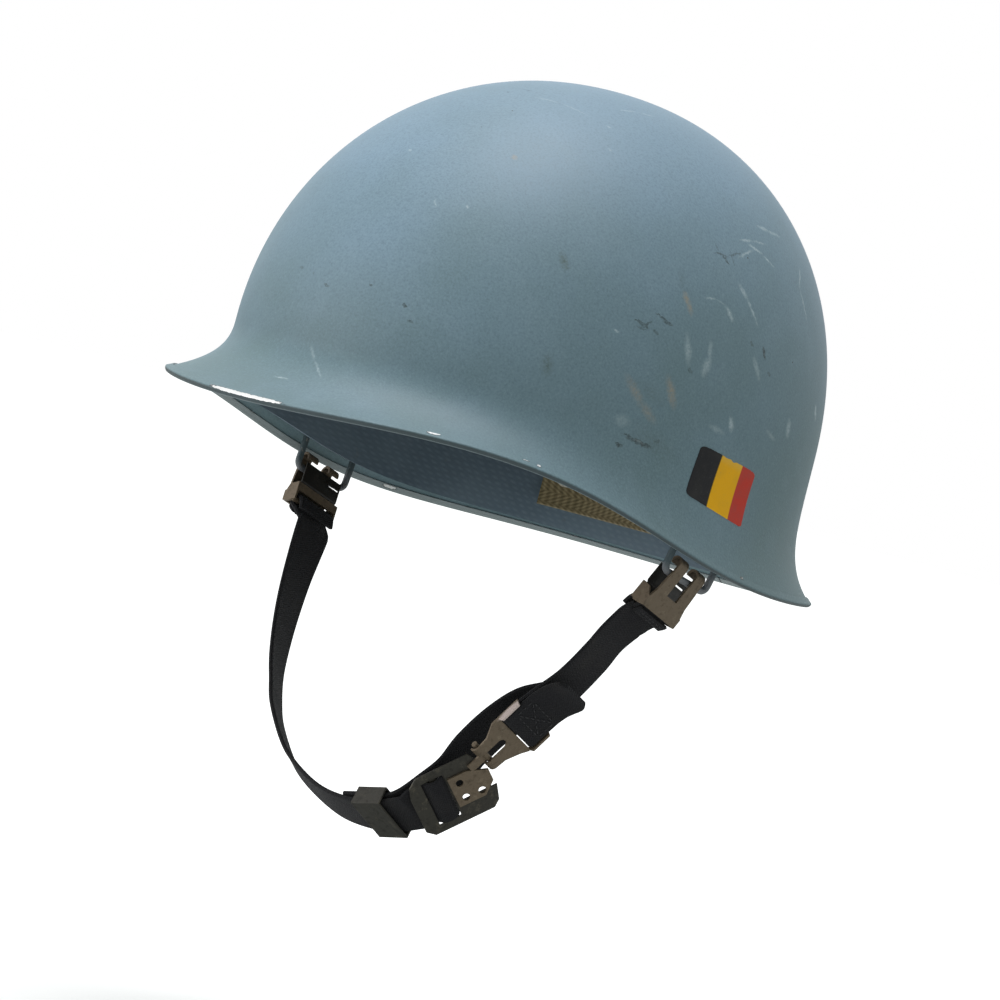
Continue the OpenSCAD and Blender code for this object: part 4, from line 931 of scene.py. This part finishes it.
section = np.linspace(0, 2 * np.pi, 60, endpoint=False)
down_share = np.sign(np.sin(section)) * abs(np.sin(section)) ** 0.6
out_share = np.sign(np.cos(section)) * abs(np.cos(section)) ** 0.35 \
    * np.where(down_share > 0.82, 0.95, 0.72)
sweat_grid = sweat_point(np.arange(360)[:, None], SWEAT_HIGH / 2 * (1 - down_share),
                         SWEAT_THICK / 2 * out_share)
leather = Finish("sweatband")
grain = leather.add("TexVoronoi", {"feature": "DISTANCE_TO_EDGE"}, Vector=leather.place,
                    Scale=700.0).outputs["Distance"]
crease = leather.noise(6, 5, 0.7, 0.4)
leather.tone = leather.blend(leather.ramp(crease, 0.3, 0.72), (84, 56, 36), (128, 90, 60))
leather.lay(leather.ramp(grain, 0.0, 0.08, 0.45, 0), (52, 34, 22))
leather.lay(leather.clouds(25, 3, 0.5, 0.5, 0.75, 0, 0.4), (66, 44, 30))
skin_height = leather.maths("ADD", leather.ramp(grain, 0, 0.15), crease)
leather.coat(Roughness=leather.ramp(crease, 0.3, 0.7, 0.42, 0.62),
             Normal=leather.bump(skin_height, 0.12, 0.7))
piece(grid_mesh("sweatband_leather", sweat_grid, loop=True, flip=True, sharp=0), leather,
      "liner", ["sweatband"])


def stitch_grids(start, end, face, thick):
    """Stitches, each a short bowed thread from start to end that stands over its cloth."""
    face = np.broadcast_to(face, start.shape)[:, None]
    share = np.linspace(0, 1, 5)[:, None]
    path = start[:, None] * (1 - share) + end[:, None] * share \
        + face * (np.sin(np.pi * share) * thick * 0.9 - thick * 0.25)
    side, face = np.cross(unit(end - start)[:, None], face)[:, None], face[:, None]
    angle = np.linspace(0, 2 * np.pi, 6, endpoint=False)[:, None]
    girth = thick * np.array([0.35, 1, 1.05, 1, 0.35])[:, None, None]
    return path[:, :, None] + girth * (np.cos(angle) * side + np.sin(angle) * face)


def stitch_mesh(name, rings):
    """All the stitches as one mesh of closed six-sided threads."""
    many, rows, sides = rings.shape[:3]
    i, j = (each.ravel() for each in np.meshgrid(np.arange(rows - 1), np.arange(sides),
                                                 indexing="ij"))
    right = (j + 1) % sides
    quad = np.stack([i * sides + j, (i + 1) * sides + j, (i + 1) * sides + right,
                     i * sides + right], 1)
    quads = (quad + (np.arange(many) * rows * sides)[:, None, None]).reshape(-1, 4)
    mesh = bare_mesh(name, rings.reshape(-1, 3), quads)
    work = bmesh.new()
    work.from_mesh(mesh)
    bmesh.ops.holes_fill(work, edges=[edge for edge in work.edges if edge.is_boundary], sides=8)
    bmesh.ops.recalc_face_normals(work, faces=work.faces)
    work.to_mesh(mesh)
    work.free()
    return smooth(mesh, 0)


thread = Finish("sewing_thread")
thread.tone = thread.blend(thread.noise(0.7), (112, 98, 70), (176, 160, 124))
thread.coat(Roughness=0.8, Normal=thread.bump(thread.noise(0.3), 0.05))
STITCH_PITCH, STITCH_RUN, SEAM_DOWN = 2.2, 1.4, (3.4, 28.6)    # degrees, and millimetres
stitch_turns = np.arange(0, 360, STITCH_PITCH)
threads = []
for down in SEAM_DOWN:
    for out in (-0.37 * SWEAT_THICK, 0.37 * SWEAT_THICK):
        a, b = (sweat_point(stitch_turns + run, down, out) for run in (0, STITCH_RUN))
        threads.append(stitch_grids(a, b, unit(np.cross(b - a, [0, 0, 1])), 0.22))
piece(stitch_mesh("sweatband_stitches", np.concatenate(threads)), thread, "liner", [])
dressed("sweatband_clips", "sweatband_spring_clips", plated, "liner", 0.08)

# ---------------------------------------------------------------- nape strap
# A short band of the same webbing behind the neck, buttoned to two studs on the liner's rear.
# It lies on the wall at its ends and runs nearly straight between them.
NAPE_TURN, NAPE_LEVEL, NAPE_HIGH, NAPE_THICK, NAPE_SPACE = 38.0, 1.54, 22.0, 1.6, 0.9


def nape_points(turns):
    depth = liner_inside + NAPE_THICK / 2 + NAPE_SPACE
    return inset(180 + np.array(turns), NAPE_LEVEL, 0, depth) - [0, 0, 3]


share = np.arange(1, 10)[:, None] / 10
inner_ends = nape_points([10 - NAPE_TURN, NAPE_TURN - 10])
middle = inner_ends[0] * (1 - share) + inner_ends[1] * share \
    + np.sin(np.pi * share) * [0, 4.0, 0]
end_turns = NAPE_TURN - 5.0 * np.arange(3)
rows = np.concatenate([nape_points(-end_turns), middle, nape_points(end_turns[::-1])])
grid, uv = band_grid(rows, [0, 0, 1.0], NAPE_HIGH / 2, NAPE_THICK, 1.5)
piece(grid_mesh("nape_webbing", grid, uv), khaki, "liner", ["nape_strap"])
grip = LINER_WALL + NAPE_THICK + 2 * NAPE_SPACE + 0.2
stud_shape = [(0, 0.4), (1.5, 0.4), (1.5, -grip - 0.6), (4.3, -grip - 0.6), (4.5, -grip - 0.9),
              (4.3, -grip - 1.4), (3.2, -grip - 1.8), (1.6, -grip - 1.98), (0, -grip - 2)]
stud_turns = 180 + np.array([5 - NAPE_TURN, NAPE_TURN - 5])
studs = joined("nape_snap_studs", set_on_wall(stud_turns, NAPE_LEVEL, stud_shape))
piece(studs, plated, "liner", ["nape_studs"])

# ---------------------------------------------------------------- chin strap, left part
# Black cotton webbing sewn round the clip's bar. Its lower end carries the release hook in a
# fold and runs on as a pull tab. The clip's two fingers snap over the bale with a spring tongue.
TAPE_WIDE, TAPE_THICK, TAPE_BLUR, PLATE, PLAY = 19.5, 1.6, 0.7, 1.0, 0.25
CLIP_LONG, CLIP_LEAN, CLIP_TWIST, CLIP_SLIDE, CLIP_BAR = 16.7, 11.4, 6.0, 1.7, 1.2
BAR_AT = np.array([-2.8, 0, 0.5 - CLIP_LONG])
BRONZED = ((108, 95, 78), (138, 126, 106), (78, 68, 54), 0.46, 0.58, 0.45)
brown = metal_finish("bronzed_steel", *BRONZED)
dark_steel = metal_finish("dark_spring_steel", (34, 33, 29), (66, 63, 56), (22, 21, 19),
                          0.4, 0.6, 0.4, 0.04)
tape = webbing_finish("black_webbing", (17, 17, 20), (25, 25, 28), (35, 35, 39), (46, 44, 42),
                      rib=0.6, row=0.5, fuzz=0.04)


def from_clip(points):
    """The clip hangs on the bale's bar, twisted a little in its own plane."""
    hung = turned(np.asarray(points, float) - [0, CLIP_SLIDE, 0], "x", -CLIP_TWIST)
    return from_bale(turned(hung, "y", CLIP_LEAN) - [0, 0, BALE_DROP])


FOLD_LEAN = 41.0
clip_side = from_clip([0, 1.0, 0]) - from_clip([0, 0, 0])
fold_way = np.array([cosd(FOLD_LEAN), 0, sind(FOLD_LEAN)])
fold_radius = CLIP_BAR + PLAY + TAPE_THICK / 2


def round_bar(turn, radius):
    """An arc about the clip's bar."""
    return BAR_AT + radius * np.stack([-sind(turn), 0 * turn, cosd(turn)], 1)


fold_round = round_bar(FOLD_LEAN - np.arange(0, 181, 15), fold_radius)
returned = fold_round[0] + [[-3, 0, -6], [-2.6, 0, -3.4], [-1.5, 0, -1.3]]
clip_fold = from_clip(np.concatenate([returned, fold_round, [fold_round[-1] - 3.2 * fold_way]]))

# A second turn of tape lies on the fold, sewn down with two rows of stitches
HEM_THICK, HEM_OFF, SEAM_OFF, SEAM_HALF, SEW_PITCH, SEW_THICK = 1.4, 1.5, 0.72, 8.6, 2.5, 0.25
hem_face = np.array([sind(FOLD_LEAN), 0, -cosd(FOLD_LEAN)])
hem_round = round_bar(FOLD_LEAN - np.array([156, 164, 172, 180]), fold_radius + HEM_OFF) \
    + [0, 0.9, 0]
hem = from_clip(np.concatenate([hem_round, hem_round[-1] - np.outer([1, 2], fold_way)]))
hem_rows = [[from_clip(hem_round[-1] + SEAM_OFF * hem_face - far * fold_way + [0, side, 0])
             for side in (-SEAM_HALF, SEAM_HALF)] for far in (-0.6, 1.1)]
hem_out = from_clip(hem_face) - from_clip([0, 0, 0])
black_thread = Finish("black_thread")
black_thread.tone = black_thread.blend(black_thread.noise(0.7), (22, 22, 25), (58, 57, 60))
black_thread.coat(Roughness=0.7)


def stitch_line(a, b, face):
    """Stitches in a straight line from a to b, each over 0.7 of its pitch."""
    span = np.linalg.norm(b - a)
    count = int(span // SEW_PITCH)
    along = (span - count * SEW_PITCH) / 2 + SEW_PITCH * (np.arange(count) + 0.15)
    start = a + unit(b - a) * along[:, None]
    return stitch_grids(start, start + unit(b - a) * SEW_PITCH * 0.7, face, SEW_THICK)


def smooth_route(rows, steps):
    """The route's rows joined by cubic curves that pass through them."""
    rows = np.array(rows, float)
    long = np.concatenate([rows[:1], rows, rows[-1:]])
    a, b, c, d = (long[k:len(long) - 3 + k][:, None] for k in range(4))
    s = np.arange(steps)[None, :, None] / steps
    curve = 0.5 * (2 * b + s * (c - a) + s * s * (2 * a - 5 * b + 4 * c - d)
                   + s ** 3 * (3 * b - a - 3 * c + d))
    return np.concatenate([curve.reshape(-1, rows.shape[1]), rows[-1:]])


def tape_lean(rows):
    """The width of the worn tape runs to the rear and down, more so away from the clips."""
    fall = -0.33 - 0.2 * np.clip((-12 - rows[:, 2]) / 20, 0, 1)
    return np.stack([rows[:, 3], 0 * fall + 0.9, fall], 1)


def tape_grid(parts, half=TAPE_WIDE / 2):
    """Tape through parts of a route, each with the direction of the tape's width."""
    rows = np.concatenate([part for part, _ in parts])
    lean = np.concatenate([np.broadcast_to(way, part.shape) for part, way in parts])
    return band_grid(rows, lean, half, TAPE_THICK, TAPE_BLUR)


def plate_axes(along, across):
    """Axes of a sheet part on the tape: its thickness, its width and its length upward."""
    up = -unit(np.array(along, float))
    wide = unit(across - up * np.dot(across, up))
    return np.stack([np.cross(wide, up), wide, up])


HOOK_AT, HOOK_AXES = np.array([77.1, -32.2, -67.6]), plate_axes([-5.5, -6, -13], [0, 0.9, -0.5])


def from_hook(points):
    return HOOK_AT + np.asarray(points, float) @ HOOK_AXES


# Routes: places in millimetres, and how far the tape's width leans to the side there
LEFT_ROUTE = [[95.4, -4.4, -15.6, -0.12], [92.5, -9.2, -23.6, -0.22], [90.3, -13.4, -32.8, -0.22],
              [86.7, -19.7, -44.7, -0.2], [82.6, -25.4, -53.8, -0.1]]
TAB = np.array([[2, 0, 5], [2.1, 0, 10], [2.4, 0, 15], [3.4, 0, 19], [5.4, 0, 22.5],
                [8, 0, 25.5], [9.6, 0, 27]])
HOOK_BAR, BOX_HALF, BOX_LOW, BOX_HIGH = 2.4, 7.4, 5.4, 13.4
hook_fold = TAPE_THICK / 2 + PLAY + PLATE / 2
hook_turn = np.arange(0, 181, 15)
hook_round = np.stack([PLATE / 2 - hook_fold * cosd(hook_turn), 0 * hook_turn,
                       HOOK_BAR - hook_fold * sind(hook_turn)], 1)
run = smooth_route(LEFT_ROUTE, 6)
hang = from_hook(np.concatenate([[[PLATE / 2 - hook_fold, 0, 6]], hook_round, TAB]))
half = np.full(len(clip_fold) + len(run) + len(hang), TAPE_WIDE / 2)
half[-2:] *= [0.93, 0.64]
left_tape = tape_grid([(clip_fold, clip_side), (run[:, :3], tape_lean(run)),
                       (hang, HOOK_AXES[1])], half)
left_hem = band_grid(hem, clip_side, TAPE_WIDE / 2, HEM_THICK, 0.3)
piece(joined("left_strap_webbing", [left_tape, left_hem]), tape, "left_strap",
      ["left_webbing"])

# The pull tab is sewn to the tape behind it with a crossed box
box = [from_hook([np.interp(z, TAB[:, 2], TAB[:, 0]) + TAPE_THICK / 2 + 0.02, y, z])
       for y, z in ((-BOX_HALF, BOX_LOW), (BOX_HALF, BOX_LOW), (BOX_HALF, BOX_HIGH),
                    (-BOX_HALF, BOX_HIGH))]
stitches = [stitch_line(box[i], box[k], HOOK_AXES[0])
            for i, k in ((0, 1), (1, 2), (2, 3), (3, 0), (0, 2), (1, 3))] \
    + [stitch_line(a, b, hem_out) for a, b in hem_rows]
piece(stitch_mesh("left_strap_stitches", np.concatenate(stitches)), black_thread,
      "left_strap", [])
dressed("hook_clip_left", "left_clip_stamped", brown, "left_strap", 0.22)
dressed("clip_tongue_left", "left_clip_tongue", dark_steel, "left_strap", 0.1)

# The hook's raised rail is pale grey near its fingers
pale_rail_hook = metal_finish("bronzed_hook", *BRONZED)
pale_rail_hook.lay(pale_rail_hook.near_place(pale_rail_hook.place, from_hook([2.4, -10.6, 4.6]),
                                       HOOK_AXES.T, (2.4, 1.5, 8.0), 0.35, 0.9),
                (206, 190, 184))
pale_rail_hook.coat()
dressed("release_hook", "release_hook_stamped", pale_rail_hook, "left_strap", 0.22)

# ---------------------------------------------------------------- chin strap, right part
# The long tape runs from the right clip round the chin, through the keeper and over the bars
# of the adjuster buckle. A shorter inner layer lies behind the buckle and the hook.
olive = metal_finish("olive_steel", (52, 50, 43), (96, 90, 76), (34, 32, 28), 0.45, 0.56, 0.4,
                     0.06)
BUCKLE_AT = np.array([63.1, -38.5, -94.0])
BUCKLE_AXES = plate_axes([-0.51, -0.57, -0.64], [0.02, 0.75, -0.68])
OVER_BAR = [[-2.2, 0, -4.4], [-0.4, 0, -4.7], [1.4, 0, -5.5], [2.1, 0, -7.2], [2.1, 0, -9.2],
            [1.2, 0, -10.6], [-0.6, 0, -11.8], [-1.4, 0, -13.4], [-1.6, 0, -15.4]]
CHIN_ROUTE = [[51, -47.6, -107, 0], [37.5, -51, -112, 0], [20, -51.5, -113.5, -0.05],
              [4, -50.5, -112, -0.1], [-16, -47.5, -106.5, -0.25], [-30, -44.5, -100, -0.35],
              [-46.5, -39, -89, -0.42], [-56, -34.5, -80, -0.45], [-64, -30, -71, -0.4],
              [-71, -25, -60, -0.3], [-78, -19, -48, -0.2], [-85, -12, -35, -0.1],
              [-90.5, -5.5, -22, 0], [-94.2, -1.2, -15.6, 0]]
INNER_ROUTE = [[83, -11.5, -47.5, 0], [79.1, -17.6, -51.8, 0], [71.4, -23.6, -57, 0],
               [64, -29, -67, 0], [58.7, -34.2, -78.7, 0], [56, -38, -89, 0],
               [52, -42.5, -97, 0], [47.2, -46.7, -104.6, 0], [42.5, -48.7, -107.8, 0],
               [36.6, -49.4, -108.8, 0], [22.3, -50.3, -111.9, 0]]
run = smooth_route(CHIN_ROUTE, 5)
chin_tape = tape_grid([(BUCKLE_AT + OVER_BAR @ BUCKLE_AXES, BUCKLE_AXES[1]),
                       (run[:, :3], tape_lean(run)),
                       (mirrored(clip_fold[::-1]), mirrored(clip_side))])
right_hem = band_grid(mirrored(hem[::-1]), mirrored(clip_side), TAPE_WIDE / 2, HEM_THICK, 0.3)
piece(joined("chin_strap_webbing", [chin_tape, right_hem]), tape, "right_strap",
      ["chin_webbing"])
stitches = [stitch_line(mirrored(a), mirrored(b), mirrored(hem_out)) for a, b in hem_rows]
piece(stitch_mesh("right_strap_stitches", np.concatenate(stitches)), black_thread,
      "right_strap", [])
run = smooth_route(INNER_ROUTE, 5)
piece(grid_mesh("inner_strap_webbing", *tape_grid([(run[:, :3], tape_lean(run))])), tape,
      "right_strap", ["inner_webbing"])
dressed("hook_clip_right", "right_clip_stamped", brown, "right_strap", 0.22)
dressed("clip_tongue_right", "right_clip_tongue", dark_steel, "right_strap", 0.1)
dressed("strap_keeper", "keeper_folded", olive, "right_strap", 0.3)
dressed("adjuster_buckle", "buckle_stamped", olive, "right_strap", 0.25)
dressed("catch_plate", "catch_plate_stamped", brown, "right_strap", 0.2)
